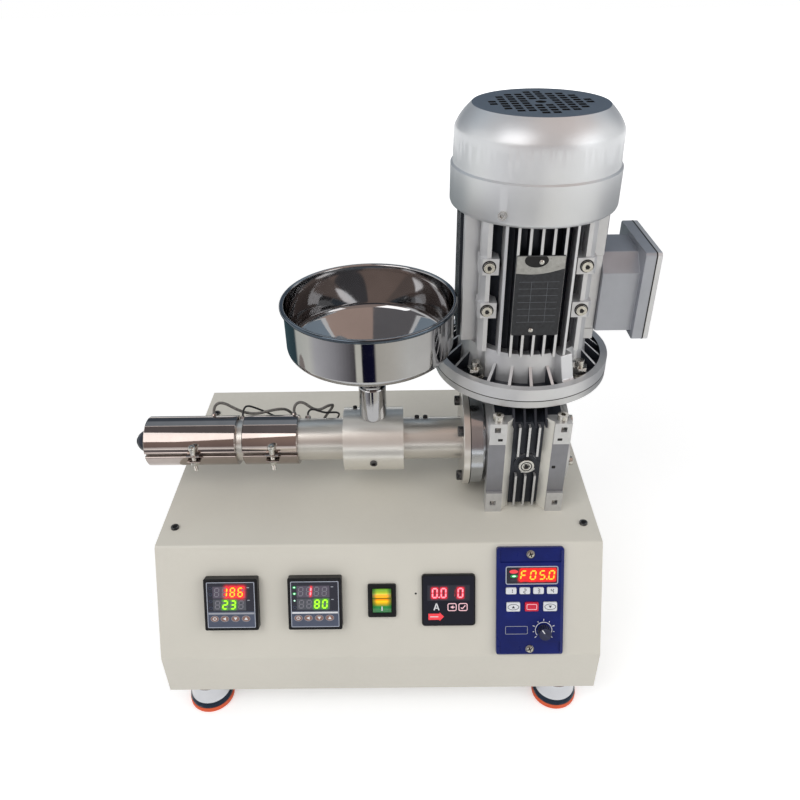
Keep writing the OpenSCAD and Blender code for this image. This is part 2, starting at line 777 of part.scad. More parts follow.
// Motor speed panel. A key's place is given from the panel's centre
key_table = [
    [small_key_first, small_key_s, small_key_w, small_key_h],
    [small_key_first + small_key_pitch, small_key_s, small_key_w, small_key_h],
    [small_key_first + 2 * small_key_pitch, small_key_s, small_key_w, small_key_h],
    [small_key_first + 3 * small_key_pitch, small_key_s, small_key_w, small_key_h],
    [big_key_middle - big_key_pitch, big_key_s, big_key_w, big_key_h],
    [big_key_middle, big_key_s, big_key_w, big_key_h],
    [big_key_middle + big_key_pitch, big_key_s, big_key_w, big_key_h]
];
module bevelled(w, h, t, bevel) {
    rise = bevel * 0.7;
    profile_w = [[-w / 2, 0], [w / 2, 0], [w / 2, t - rise], [w / 2 - bevel, t], [bevel - w / 2, t],
        [-w / 2, t - rise]];
    profile_h = [[-h / 2, 0], [h / 2, 0], [h / 2, t - rise], [h / 2 - bevel, t], [bevel - h / 2, t],
        [-h / 2, t - rise]];
    intersection() {
        linear_extrude(t) rounded(w, h, drive_corner_r);
        rotate([90, 0, 0]) linear_extrude(h, center = true) polygon(profile_w);
        across(w) polygon(profile_h);
    }
}
module drive_panel() {
    land_t = drive_proud - drive_step;
    color("navy") on_slope(drive_x, drive_s) difference() {
        union() {
            bevelled(drive_w, drive_h, drive_proud, drive_bevel);
            translate([-drive_body_w / 2, -drive_body_h / 2, -drive_body_depth])
                cube([drive_body_w, drive_body_h, drive_body_depth]);
        }
        for (j = [-1, 1]) translate([0, j * (drive_h - drive_land_h) / 2, land_t + drive_step])
            cube([drive_w - 2 * drive_bevel, drive_land_h, 2 * drive_step], center = true);
        for (j = [-1, 1]) translate([0, j * drive_screw_s, drive_proud / 2])
            cylinder(r = screw_r + seat_gap, h = drive_proud);
        translate([big_key_middle - drive_window_w / 2 - seat_gap,
            drive_window_s - drive_window_h / 2 - seat_gap, drive_proud - drive_window_t])
            cube([drive_window_w + 2 * seat_gap, drive_window_h + 2 * seat_gap, drive_window_t + cut]);
        for (k = key_table) translate([k[0], k[1], drive_proud - key_depth])
            linear_extrude(key_depth + cut)
                rounded(k[2] + 2 * key_slack, k[3] + 2 * key_slack, key_corner_r + key_slack);
        translate([knob_x, knob_s, drive_proud - knob_shaft_len - slide_gap])
            cylinder(r = knob_shaft_r + run_gap, h = knob_shaft_len + slide_gap + cut);
    }
}
module display_windows() {
    color("midnightblue") {
        controller_places()
            translate([-window_w / 2, window_rise - window_h / 2, controller_proud - window_t])
                cube([window_w, window_h, window_t * 0.9]);
        on_slope(drive_x, drive_s)
            translate([big_key_middle - drive_window_w / 2, drive_window_s - drive_window_h / 2,
                drive_proud - drive_window_t])
                cube([drive_window_w, drive_window_h, drive_window_t * 0.9]);
    }
}
module speed_knob() {
    color("darkslateblue") on_slope(drive_x, drive_s)
        translate([knob_x, knob_s, drive_proud]) difference() {
            union() {
                translate([0, 0, slide_gap]) cylinder(r = knob_r, h = knob_h);
                translate([0, 0, -knob_shaft_len]) cylinder(r = knob_shaft_r, h = knob_shaft_len + cut);
            }
            for (i = [0 : knob_grooves - 1]) rotate(i * 360 / knob_grooves)
                translate([knob_r, 0, knob_h * 0.3]) cylinder(r = knob_groove_r, h = knob_h, $fn = 16);
        }
}
module press_key(i, paint) {
    k = key_table[i];
    color(paint) on_slope(drive_x, drive_s)
        translate([k[0], k[1], drive_proud - key_depth + key_rest_gap])
            linear_extrude(key_depth - key_rest_gap + key_proud) rounded(k[2], k[3], key_corner_r);
}
module key_1() { press_key(0, "white"); }
module key_2() { press_key(1, "white"); }
module key_3() { press_key(2, "white"); }
module key_4() { press_key(3, "white"); }
module key_up() { press_key(4, "white"); }
module key_stop() { press_key(5, "crimson"); }
module key_down() { press_key(6, "white"); }

// Gearbox
function gear_foot_places() = [
    for (i = [-1, 1], y = [axis_y - gear_reach + column_d / 2, axis_y + gear_back - column_d / 2])
        [gear_x + i * (gear_w - column_w) / 2, y]
];
module column(face_y, turn) {
    // One upright bar with square pads at its ends, and a sloped strip on its inner side
    low = -gear_reach;
    high = gear_reach - seat_gap;
    for (i = [-1, 1]) {
        outer_x = i * gear_w / 2;
        inner_x = i * (gear_w / 2 - column_w);
        strip_x = i * (gear_w / 2 - column_w - strip_w);
        step_y = face_y + turn * pad_step;
        back_y = face_y + turn * column_d;
        translate([0, 0, low]) linear_extrude(high - low) polygon([
            [outer_x, step_y], [inner_x, step_y], [strip_x, face_y + turn * recess_d],
            [strip_x, back_y], [outer_x, back_y]
        ]);
        for (z = [low, high - pad_len]) translate([0, 0, z]) linear_extrude(pad_len)
            polygon([[outer_x, face_y], [inner_x, face_y], [inner_x, back_y], [outer_x, back_y]]);
    }
}
module gear_fins_at(y_low, y_high, z_low, z_high) {
    for (i = [-(gear_fins - 1) / 2 : (gear_fins - 1) / 2])
        translate([i * gear_fin_pitch - gear_fin_t / 2, y_low, z_low])
            cube([gear_fin_t, y_high - y_low, z_high - z_low]);
}
module roof_fins() {
    front = recess_d - gear_reach - gear_fin_d;
    for (i = [-1.5 : 1.5]) translate([i * gear_fin_pitch * 1.1, 0, 0]) across(gear_fin_t)
        polygon([[front, gear_reach * 0.86], [front + gear_fin_d, gear_reach * 0.86],
            [centre_distance - tower_r, gear_top - seat_gap],
            [front + 2 * gear_fin_d, gear_top - seat_gap]]);
}
module gear_housing() {
    front = recess_d - gear_reach;
    half = gear_w / 2;
    color("silver") translate([gear_x, axis_y, axis_z]) difference() {
        union() {
            translate([-half, 0, 0]) rotate([0, 90, 0]) cylinder(r = cavity_r + cast_wall, h = gear_w);
            translate([-half + cast_wall, front, -gear_reach + cast_wall / 2])
                cube([gear_w - 2 * cast_wall, gear_back - front - cast_wall / 2, gear_reach + cast_wall]);
            across(gear_w - 2 * cast_wall) polygon([
                [front, 0], [front, gear_reach * 0.9], [centre_distance - tower_r, gear_top],
                [gear_back - cast_wall / 2, gear_top], [gear_back - cast_wall / 2, 0]
            ]);
            translate([0, centre_distance, -gear_reach])
                cylinder(r = tower_r, h = gear_top + gear_reach);
            column(-gear_reach, 1);
            column(gear_back, -1);
            gear_fins_at(front - gear_fin_d, front + cut, plug_r * 1.6, gear_reach * 0.86);
            gear_fins_at(front - gear_fin_d, front + cut, -gear_reach * 0.92, -plug_r * 1.6);
            roof_fins();
            translate([0, front + cut, 0]) rotate([90, 0, 0])
                cylinder(r = plug_r * 1.5, h = cut + plug_h / 2);
        }
        translate([-hub_wall_x, 0, 0]) rotate([0, 90, 0])
            cylinder(r = cavity_r, h = hub_wall_x + half + cut);
        translate([-half - cut, 0, 0]) rotate([0, 90, 0])
            cylinder(r = wheel_ring[1] + seat_gap, h = half + cut - wheel_seat_x);
        translate([-half, 0, 0]) rotate([0, 90, 0])
            cylinder(r = wheel_ring[1] * 0.85, h = half);
        translate([0, centre_distance, worm_seat_low + cut])
            cylinder(r = worm_room_r, h = worm_seat_high - worm_seat_low);
        translate([0, centre_distance, worm_seat_low - worm_low_ring[2] - cut])
            cylinder(r = worm_low_ring[1] + seat_gap, h = worm_low_ring[2] + 2 * cut);
        translate([0, centre_distance, worm_seat_high])
            cylinder(r = worm_top_ring[1] + seat_gap, h = gear_top);
        translate([0, front + 2 * cut, 0]) rotate([90, 0, 0]) cylinder(r = plug_r * 0.7, h = plug_h * 3);
        for (i = [-1, 1], z = [pad_len * 0.47 - gear_reach, gear_reach - pad_len * 0.3])
            translate([i * (half - column_w * 0.45), -gear_reach - cut, z])
                cube([column_w * 0.35, column_d + cut, pad_len * 0.24], center = true);
        for (p = gear_foot_places())
            translate([p[0] - gear_x, p[1] - axis_y, -gear_reach - cut])
                cylinder(r = bolt_r + seat_gap, h = pad_len + cut);
        for (i = [-1, 1]) translate([i * (half - column_w / 2), column_d / 2 - gear_reach,
            gear_reach - pad_len]) cylinder(r = barrel_bolt_r + seat_gap, h = pad_len + cut);
    }
}
module gear_cover() {
    hub_x = gear_w / 2 - wheel_seat_x;
    color("silver") on_screw(gear_x + gear_w / 2) difference() {
        union() {
            translate([0, 0, run_gap]) cylinder(r = cover_r, h = cover_t - run_gap);
            translate([0, 0, -hub_x + run_gap]) cylinder(r = cavity_r - seat_gap, h = hub_x);
            translate([0, 0, cover_t]) cylinder(r = wheel_ring[1], h = cover_t / 3);
        }
        translate([0, 0, -hub_x - cut]) cylinder(r = wheel_ring[1] + seat_gap, h = hub_x + cut);
        for (i = [0 : cover_screws - 1]) rotate((i + 0.5) * 360 / cover_screws)
            translate([(cavity_r + cover_r) / 2 + cut / 3, 0, 0])
                cylinder(r = cover_screw_r * 0.8 + seat_gap, h = 3 * cover_t, center = true);
    }
}
module input_flange() {
    neck_r = worm_top_ring[1];
    color("silver") on_motor(flange_z) difference() {
        union() {
            cylinder(r = flange_r, h = flange_t);
            translate([0, 0, -cast_wall]) cylinder(r = neck_r, h = cast_wall + cut);
        }
        translate([0, 0, flange_t - spigot_h - seat_gap * 4])
            cylinder(r = spigot_r + seat_gap, h = spigot_h + cut);
        translate([0, 0, -cast_wall]) drill(worm_hub_r + 4 * seat_gap, flange_t + cast_wall);
        flange_bolt_places() drill(bolt_hole_r, flange_t);
    }
}
module flange_bolt_places() {
    for (a = [45 : 90 : 315]) rotate(a) translate([flange_bolt_r, 0, 0]) children();
}
module bearings() {
    color("lightsteelblue") {
        on_screw(gear_x - wheel_seat_x - wheel_ring[2]) ring_bearing(wheel_ring);
        on_screw(gear_x + wheel_seat_x) ring_bearing(wheel_ring);
        on_motor(axis_z + worm_seat_high) ring_bearing(worm_top_ring);
        on_motor(axis_z + worm_seat_low - worm_low_ring[2]) ring_bearing(worm_low_ring);
        on_motor(flange_face_z + shield_hub_h - motor_ring[2]) ring_bearing(motor_ring);
        on_motor(frame_top_z + rear_rim_h - motor_ring[2]) ring_bearing(motor_ring);
        on_screw(adapter_x + thrust_x) ring_bearing(thrust_ring);
    }
}
module oil_seals() {
    color("black") {
        on_screw(gear_x - gear_w / 2 + slide_gap)
            tube(wheel_ring[1], wheel_ring[0], seal_w);
        on_motor(axis_z + worm_seat_high + worm_top_ring[2] + slide_gap)
            tube(worm_top_ring[1], worm_top_ring[0], seal_w);
    }
}
module oil_plug() {
    color("gainsboro") translate([gear_x, axis_y - gear_reach + recess_d - plug_h / 2, axis_z])
        rotate([90, 0, 0]) difference() {
            union() {
                cylinder(r = plug_r, h = plug_h);
                translate([0, 0, -plug_h]) cylinder(r = plug_r * 0.7 - seat_gap, h = plug_h + cut);
            }
            translate([0, 0, plug_h * 0.5]) cylinder(r = plug_r * 0.45, h = plug_h, $fn = 6);
        }
}
module gearbox_bolts() {
    color("gainsboro") {
        for (i = [0 : cover_screws - 1]) on_screw(gear_x + gear_w / 2 + cover_t)
            rotate((i + 0.5) * 360 / cover_screws) translate([(cavity_r + cover_r) / 2 + cut / 3, 0, 0])
                headed(cover_screw_r * 0.8, cover_t * 0.9, cover_screw_head_r, cover_screw_head_h);
        for (p = gear_foot_places()) translate([p[0], p[1], top_z - sheet_t]) mirror([0, 0, 1])
            headed(bolt_r, pad_len * 0.8, bolt_head_r, bolt_head_h);
        for (i = [-1, 1])
            translate([gear_x + i * (gear_w - column_w) / 2, axis_y + column_d / 2 - gear_reach,
                axis_z + gear_reach])
                headed(barrel_bolt_r, pad_len * 0.8, barrel_bolt_head_r, barrel_bolt_head_h);
    }
}
// The worm's section: the radius that its straight-sided thread has at each angle
function worm_radius(a) = let(
    along = abs(a > 180 ? a - 360 : a) * lead / 360,
    half = lead / 4 - tooth_play / 2
) min(worm_tip_r, max(worm_root_r, worm_pitch_r + (half - along) / pressure_tan));
module worm() {
    turns = worm_len / lead;
    color("darkgray") on_motor(axis_z) difference() {
        union() {
            rotate(90 - turns * 180) translate([0, 0, -worm_len / 2])
                linear_extrude(worm_len, twist = -turns * 360, slices = round(turns * worm_slices),
                    segments = worm_steps) polygon([for (i = [0 : worm_steps - 1])
                        let(a = i * 360 / worm_steps) worm_radius(a) * [cos(a), sin(a)]]);
            translate([0, 0, worm_seat_low - worm_low_ring[2]])
                cylinder(r = worm_low_ring[0] - run_gap, h = -worm_seat_low + worm_low_ring[2]);
            translate([0, 0, worm_len / 2 - cut / 2])
                cylinder(r = worm_hub_r, h = gear_top - worm_len / 2 - cut);
        }
        translate([0, 0, gear_top - shaft_reach]) cylinder(r = shaft_r + run_gap, h = gear_top);
    }
}
module worm_wheel() {
    half_pitch = lead / 4 - tooth_play / 2;
    root_half = half_pitch * 1.24;
    tip_half = half_pitch * 0.43;
    hub_left = gear_w / 2 - slide_gap;
    hub_len = hub_left + wheel_seat_x + wheel_ring[2];
    twist = wheel_w * tan(lead_angle) / wheel_pitch_r * 180 / PI;
    color("goldenrod") on_screw(gear_x) difference() {
        union() {
            rotate(-twist / 2) translate([0, 0, -wheel_w / 2])
                linear_extrude(wheel_w, twist = -twist, slices = 4, segments = wheel_teeth) polygon([
                    for (i = [0 : wheel_teeth - 1], p = [[wheel_root_r, -root_half],
                        [wheel_pitch_r, -half_pitch], [wheel_tip_r, -tip_half], [wheel_tip_r, tip_half],
                        [wheel_pitch_r, half_pitch], [wheel_root_r, root_half]])
                        let(a = 90 + i * 360 / wheel_teeth + p[1] / p[0] * 180 / PI)
                            p[0] * [cos(a), sin(a)]
                ]);
            translate([0, 0, -hub_left]) cylinder(r = wheel_ring[0] - run_gap, h = hub_len);
            translate([0, 0, slide_gap - wheel_seat_x])
                cylinder(r = wheel_ring[0] * 1.3, h = 2 * (wheel_seat_x - slide_gap));
        }
        translate([0, 0, -hub_left]) drill(shank_r + run_gap, hub_len);
    }
}

// Motor
module motor_flange() {
    color("silver") on_motor(flange_face_z) difference() {
        union() {
            rotate_extrude() polygon([
                [0, -spigot_h], [spigot_r, -spigot_h], [spigot_r, 0], [flange_r, 0], [flange_r, rim_h],
                [flange_r - rim_w, rim_h], [flange_r - rim_w - sheet_t / 2, dish_t],
                [cone_low_r, dish_t], [cone_top_r, shield_h], [cone_top_r - cone_wall * 2.5, shield_h],
                [cone_top_r - cone_wall * 2.5, shield_h - cone_wall],
                [cone_top_r - cone_wall, shield_h - cone_wall],
                [cone_low_r - cone_wall, dish_t], [motor_ring[1] + cast_wall, dish_t],
                [motor_ring[1] + cast_wall, shield_hub_h], [0, shield_hub_h]
            ]);
            intersection() {
                for (a = [0 : rib_step : 359]) if (a % 90 != 45) rotate(a) rotate([90, 0, 0])
                    linear_extrude(rib_t, center = true) polygon([
                        [cone_top_r - cone_wall / 2, dish_t - cut], [flange_r - rim_w + cut, dish_t - cut],
                        [flange_r - rim_w + cut, rim_h * 0.8], [cone_top_r - cone_wall / 2, shield_h * 0.75]
                    ]);
                cylinder(r = flange_r - rim_w + cut, h = shield_h);
            }
        }
        translate([0, 0, shield_hub_h - motor_ring[2]])
            cylinder(r = motor_ring[1] + seat_gap, h = shield_h);
        translate([0, 0, -spigot_h - cut]) cylinder(r = shaft_r + 4 * slide_gap, h = shield_h);
        flange_bolt_places() {
            drill(bolt_hole_r, dish_t);
            translate([0, 0, dish_t]) cylinder(r = bolt_head_r * 1.2, h = shield_h);
        }
    }
}
module mirrored_block(x_low, x_high, y_low, y_high) {
    for (i = [-1, 1], j = [-1, 1])
        translate([i * (x_low + x_high) / 2, j * (y_low + y_high) / 2])
            square([x_high - x_low, y_high - y_low], center = true);
}
module frame_section() {
    difference() {
        union() {
            circle(frame_core_r);
            intersection() {
                circle(fin_r);
                square(2 * frame_flat, center = true);
                for (i = [-(frame_fins - 1) / 2 : (frame_fins - 1) / 2]) {
                    translate([i * frame_fin_pitch, 0]) square([frame_fin_t, 2 * fin_r], center = true);
                    translate([0, i * frame_fin_pitch]) square([2 * fin_r, frame_fin_t], center = true);
                }
            }
            intersection() {
                circle(fin_r);
                mirrored_block(rail_in, rail_out, rail_back, rail_face);
            }
        }
        circle(stator_r + seat_gap);
    }
}
// Frames on the front and back faces of the frame's bosses, Z outwards
module boss_places() {
    for (z = [boss_low, boss_high], i = [-1, 1], j = [-1, 1])
        translate([i * (boss_in + boss_out) / 2, j * boss_face, z]) rotate([-90 * j, 0, 0]) children();
}
module motor_frame() {
    pad_w = box_w * 0.84;
    pad_z = box_z - frame_z - box_body_h / 2;
    color("silver") on_motor(frame_z) difference() {
        union() {
            difference() {
                linear_extrude(frame_h) frame_section();
                translate([frame_core_r, -box_w / 2 - slide_gap, pad_z - slide_gap])
                    cube([fin_r, box_w + 2 * slide_gap, box_body_h + 2 * slide_gap]);
            }
            translate([frame_core_r - cast_wall, -pad_w / 2, pad_z])
                cube([box_neck_x - frame_core_r + cast_wall, pad_w, box_body_h]);
            for (z = [boss_low, boss_high]) translate([0, 0, z - boss_h / 2]) linear_extrude(boss_h)
                intersection() {
                    difference() {
                        circle(boss_r);
                        circle(frame_root_r);
                    }
                    mirrored_block(boss_in, boss_out, rail_back, boss_face);
                }
        }
        boss_places() translate([0, 0, -boss_screw_len - cut])
            cylinder(r = boss_screw_r + seat_gap, h = boss_screw_len + 2 * cut);
    }
}
module stator() {
    rotor_room = rotor_r + air_gap;
    color("chocolate") on_motor(stator_z) rotate_extrude() polygon([
        [rotor_room, 0], [rotor_room * 1.06, 0], [rotor_room * 1.1, -winding_h],
        [stator_r * 0.93, -winding_h], [stator_r * 0.95, 0], [stator_r, 0],
        [stator_r, stator_len], [stator_r * 0.95, stator_len], [stator_r * 0.93, stator_len + winding_h],
        [rotor_room * 1.1, stator_len + winding_h], [rotor_room * 1.06, stator_len],
        [rotor_room, stator_len]
    ]);
}
module rotor() {
    low = axis_z + gear_top - shaft_reach + cut;
    journal_r = motor_ring[0] - run_gap;
    color("slategray") on_motor(0) {
        translate([0, 0, low]) cylinder(r = shaft_r, h = flange_face_z - low + cut);
        translate([0, 0, flange_face_z])
            cylinder(r = journal_r, h = frame_top_z + rear_rim_h - flange_face_z);
        translate([0, 0, stator_z]) cylinder(r = rotor_r, h = stator_len);
        for (z = [stator_z - winding_h / 2, stator_z + stator_len - cut])
            translate([0, 0, z]) cylinder(r = rotor_r * 0.85, h = winding_h / 2 + cut);
        translate([0, 0, frame_top_z]) cylinder(r = fan_shaft_r, h = fan_z + fan_h - frame_top_z);
    }
}
module rear_shield() {
    rim_r = fin_r * 0.97;
    color("silver") on_motor(frame_top_z) difference() {
        rotate_extrude() polygon([
            [0, -motor_ring[2]], [motor_ring[1] + cast_wall, -motor_ring[2]],
            [motor_ring[1] + cast_wall, 0], [rim_r, 0], [rim_r, rear_shield_t], [0, rear_shield_t]
        ]);
        translate([0, 0, -motor_ring[2] - cut])
            cylinder(r = motor_ring[1] + seat_gap, h = motor_ring[2] + rear_rim_h + cut);
        cylinder(r = motor_ring[0] + slide_gap, h = rear_shield_t + cut);
        translate([0, 0, cowl_z - frame_top_z]) cowl_screw_places()
            translate([0, 0, -cowl_screw_len - cut])
                cylinder(r = screw_r + seat_gap, h = cowl_screw_len);
    }
}
module cooling_fan() {
    color("black") on_motor(fan_z) difference() {
        union() {
            cylinder(r = fan_hub_r, h = fan_h * 0.8);
            cylinder(r = fan_r * 0.6, h = fan_blade_t);
            for (i = [0 : fan_blades - 1]) rotate(i * 360 / fan_blades)
                translate([fan_hub_r - cut, -fan_blade_t / 2, 0])
                    cube([fan_r - fan_hub_r, fan_blade_t, fan_h]);
        }
        translate([0, 0, -cut]) cylinder(r = fan_shaft_r + run_gap, h = fan_h + 2 * cut);
    }
}
function cowl_line(inset) = let(
    band_z = cowl_h * cowl_band_share,
    shoulder_z = cowl_h * cowl_shoulder_share,
    rise = cowl_h - shoulder_z - inset,
    reach = cowl_upper_r - cowl_top_r
) concat(
    [[cowl_lip_r - inset, 0], [cowl_band_r - cowl_t / 2 - inset, cowl_lip_h / 2],
     [cowl_band_r - inset, cowl_lip_h], [cowl_band_r - inset, band_z - inset],
     [cowl_upper_r + cowl_t / 3 - inset, band_z + cowl_t - inset]],
    [for (t = [0 : 0.125 : 1])
        [cowl_upper_r - reach * (t + t * t) / 2 - inset, shoulder_z + rise * t]]
);
module fan_cowl() {
    color("silver") on_motor(cowl_z) difference() {
        rotate_extrude() polygon(concat(cowl_line(0), [[0, cowl_h], [0, cowl_h - cowl_t]],
            reversed(cowl_line(cowl_t))));
        rotate(3) for (i = [-4.5 : 4.5], j = [-4.5 : 4.5])
            if (norm([i, j]) * grille_pitch < grille_r && norm([i, j]) > 1)
                translate([i * grille_pitch, j * grille_pitch, cowl_h])
                    cube([grille_hole, grille_hole, 4 * cowl_t], center = true);
        cylinder(r = grille_centre_r, h = cowl_h + cut);
        cowl_screw_places() translate([0, 0, -3 * cowl_t])
            cylinder(r = screw_r + seat_gap, h = 6 * cowl_t);
    }
}
// Frames on the cowl's lower band, Z outwards
module cowl_screw_places() {
    for (a = [-118, 2, 122]) rotate(a)
        translate([cowl_band_r, 0, cowl_screw_h]) rotate([0, 90, 0]) children();
}
module motor_screws() {
    color("gainsboro") {
        on_motor(cowl_z) cowl_screw_places()
            headed(screw_r, cowl_screw_len, screw_head_r, screw_head_h);
        on_motor(frame_z) boss_places()
            headed(boss_screw_r, boss_screw_len, boss_head_r, boss_head_h);
    }
}
module flange_bolts() {
    color("gainsboro") on_motor(flange_z) flange_bolt_places() {
        translate([0, 0, -bolt_head_h]) cylinder(r = bolt_head_r, h = bolt_head_h, $fn = 6);
        cylinder(r = bolt_r, h = flange_t + dish_t + nut_h * 1.6);
        translate([0, 0, flange_t + dish_t]) cylinder(r = bolt_head_r * 1.1, h = nut_h, $fn = 6);
    }
}
module box_outline(w, h, chamfer) {
    polygon([[-w / 2, -h / 2], [w / 2, -h / 2], [w / 2, h / 2 - chamfer], [w / 2 - chamfer, h / 2],
        [chamfer - w / 2, h / 2], [-w / 2, h / 2 - chamfer]]);
}
module terminal_box() {
    body_len = box_face_x - lid_t - box_rim_t - box_neck_x - box_gap;
    color("silver") translate([gear_x + box_neck_x + box_gap, worm_y, box_z]) difference() {
        union() {
            translate([body_len / 2, 0, 0]) across(body_len) box_outline(box_w, box_body_h, box_chamfer);
            translate([body_len + box_rim_t / 2, 0, 0]) across(box_rim_t) rounded(lid_w, lid_h, box_wall);
        }
        translate([body_len / 2 + box_rim_t / 2 + box_wall, 0, 0]) across(body_len + box_rim_t)
            box_outline(box_w - 2 * box_wall, box_body_h - 2 * box_wall, box_chamfer);
    }
}
module terminal_lid() {
    lip = box_wall + seat_gap;
    color("silver") translate([gear_x + box_face_x, worm_y, box_z]) {
        translate([-lid_t / 2, 0, 0]) across(lid_t) rounded(lid_w, lid_h, box_wall);
        translate([-lid_t - box_wall / 2, 0, 0]) across(box_wall) difference() {
            box_outline(box_w - 2 * lip, box_body_h - 2 * lip, box_chamfer);
            box_outline(box_w - 4 * lip, box_body_h - 4 * lip, box_chamfer);
        }
    }
}

// Barrel and hopper
module barrel_bolt_places() {
    for (a = [45 : 90 : 315]) rotate(a) translate([bolt_circle_r, 0, 0]) children();
}
module barrel_adapter() {
    face_x = gear_x - gear_w / 2 - adapter_x;
    color("silver") on_screw(adapter_x) difference() {
        union() {
            cylinder(r = adapter_r, h = adapter_t);
            cylinder(r = adapter_neck_r, h = face_x);
        }
        translate([0, 0, -cut])
            cylinder(r = thrust_ring[1] + seat_gap, h = thrust_x + thrust_ring[2] + cut);
        drill(shank_r * 1.2, face_x);
        barrel_bolt_places() drill(barrel_bolt_r + seat_gap, adapter_t - 2 * cut);
    }
}
module barrel() {
    color("lightsteelblue") on_screw(adapter_x) difference() {
        union() {
            translate([0, 0, -barrel_flange_t]) cylinder(r = barrel_flange_r, h = barrel_flange_t);
            translate([0, 0, -barrel_flange_t - barrel_len]) cylinder(r = barrel_r, h = barrel_len + cut);
        }
        translate([0, 0, -barrel_flange_t - barrel_len]) drill(bore_r, barrel_len + barrel_flange_t);
        barrel_bolt_places() translate([0, 0, -barrel_flange_t])
            drill(barrel_bolt_r + seat_gap, barrel_flange_t);
        translate([0, 0, throat_x - adapter_x]) rotate([0, -90, 0])
            cylinder(r = throat_r, h = barrel_r + cut);
        probe_places() cylinder(r = probe_r + seat_gap, h = barrel_r);
    }
}
// Frames on the barrel's upper rear side, Z outwards
module probe_places() {
    for (x = [rear_heater_x - heater_space / 2, rear_heater_x + rear_heater_len + probe_gap])
        translate([0, 0, x - adapter_x]) rotate(-probe_angle) rotate([0, -90, 0])
            translate([0, 0, barrel_r - probe_depth]) children();
}
module probes() {
    color("silver") on_screw(adapter_x) probe_places() {
        cylinder(r = probe_r, h = probe_depth + probe_proud);
        translate([0, 0, probe_depth]) cylinder(r = probe_r * 1.8, h = probe_r * 1.5, $fn = 6);
    }
}
module extruder_screw() {
    tip_x = barrel_end_x + nozzle_plug_len + screw_tip_gap;
    flight_end_x = throat_x + throat_r + screw_pitch / 2;
    flight_len = flight_end_x - tip_x;
    turns = flight_len / screw_pitch;
    shank_end = gear_x + wheel_seat_x + wheel_ring[2];
    land = 360 * screw_land_share;
    root_step = 360 / flight_slices;
    // One turn of the screw's section: the flight's land, then the round root
    section = concat(
        [for (a = [-land / 2, 0, land / 2]) screw_tip_r * [cos(a), sin(a)]],
        [for (a = [land : root_step : 360 - land]) screw_root_r * [cos(a), sin(a)]]
    );
    color("gainsboro") {
        on_screw(tip_x) {
            linear_extrude(flight_len, twist = -turns * 360, slices = round(turns * flight_slices),
                segments = len(section)) polygon(section);
            translate([0, 0, -screw_root_r / 3])
                cylinder(r1 = screw_root_r / 3, r2 = screw_root_r * 0.9, h = screw_root_r / 3);
        }
        on_screw(flight_end_x - cut)
            cylinder(r = bore_r - run_gap, h = adapter_x - flight_end_x + 2 * cut);
        on_screw(adapter_x + slide_gap) cylinder(r = thrust_collar_r, h = thrust_collar_t);
        on_screw(adapter_x + slide_gap) cylinder(r = shank_r, h = shank_end - adapter_x - slide_gap);
    }
}
module nozzle() {
    color("dimgray") on_screw(barrel_end_x) rotate_extrude() polygon([
        [outlet_r, -nozzle_h], [nozzle_tip_r, -nozzle_h], [nozzle_r * 0.55, -nozzle_h * 0.82],
        [nozzle_r * 0.85, -nozzle_h * 0.5], [nozzle_r, -nozzle_h * 0.18], [nozzle_r, 0],
        [bore_r - seat_gap, 0], [bore_r - seat_gap, nozzle_plug_len],
        [bore_r * 0.7, nozzle_plug_len], [outlet_r, 0]
    ]);
}
// A band round the barrel, open at the front where two ears take the clamp screw
module heater_band(len, ear_share, exit_share) {
    difference() {
        union() {
            cylinder(r = heater_r, h = len);
            translate([0, 0, len * exit_share]) rotate(-exit_angle) rotate([0, -90, 0])
                cylinder(r = exit_r, h = heater_r + exit_reach);
            translate([-heater_slot / 2 - ear_t, heater_wall - heater_r - ear_h,
                len * ear_share - ear_w / 2]) cube([heater_slot + 2 * ear_t, ear_h, ear_w]);
        }
        drill(barrel_r + seat_gap, len);
        translate([-heater_slot / 2, -2 * heater_r, -cut])
            cube([heater_slot, 2 * heater_r, len + 2 * cut]);
        clamp_place(len, ear_share) cylinder(r = clamp_r + seat_gap, h = 4 * heater_slot, center = true);
    }
}
module clamp_place(len, ear_share) {
    translate([0, heater_wall + clamp_head_r - heater_r - ear_h, len * ear_share])
        rotate([0, -90, 0]) children();
}
module front_heater() {
    color("rosybrown") on_screw(front_heater_x)
        heater_band(front_heater_len, front_ear_share, front_exit_share);
}
module rear_heater() {
    color("rosybrown") on_screw(rear_heater_x)
        heater_band(rear_heater_len, rear_ear_share, rear_exit_share);
}
module clamp_screw(len, ear_share) {
    clamp_place(len, ear_share) {
        translate([0, 0, -clamp_down]) cylinder(r = clamp_r, h = clamp_down + clamp_up);
        translate([0, 0, clamp_up]) cylinder(r = clamp_head_r, h = clamp_head_h);
        translate([0, 0, heater_slot / 2 + ear_t])
            cylinder(r = clamp_r * 1.4, h = clamp_up - heater_slot / 2 - ear_t);
        translate([0, 0, -heater_slot / 2 - ear_t - clamp_head_h])
            cylinder(r = clamp_head_r, h = clamp_head_h, $fn = 6);
    }
}
module collar_screw_place() {
    rotate(set_screw_angle) rotate([90, 0, 0]) translate([0, 0, collar_r]) children();
}
module barrel_bolts() {
    color("dimgray") {
        on_screw(adapter_x) barrel_bolt_places() translate([0, 0, -barrel_flange_t])
            mirror([0, 0, 1]) headed(barrel_bolt_r, barrel_flange_t + adapter_t * 0.8,
                barrel_bolt_head_r, barrel_bolt_head_h);
        on_screw(front_heater_x) clamp_screw(front_heater_len, front_ear_share);
        on_screw(rear_heater_x) clamp_screw(rear_heater_len, rear_ear_share);
        on_screw(throat_x) collar_screw_place()
            headed(set_screw_r, collar_r - barrel_r - seat_gap, set_screw_r, set_screw_proud);
    }
}
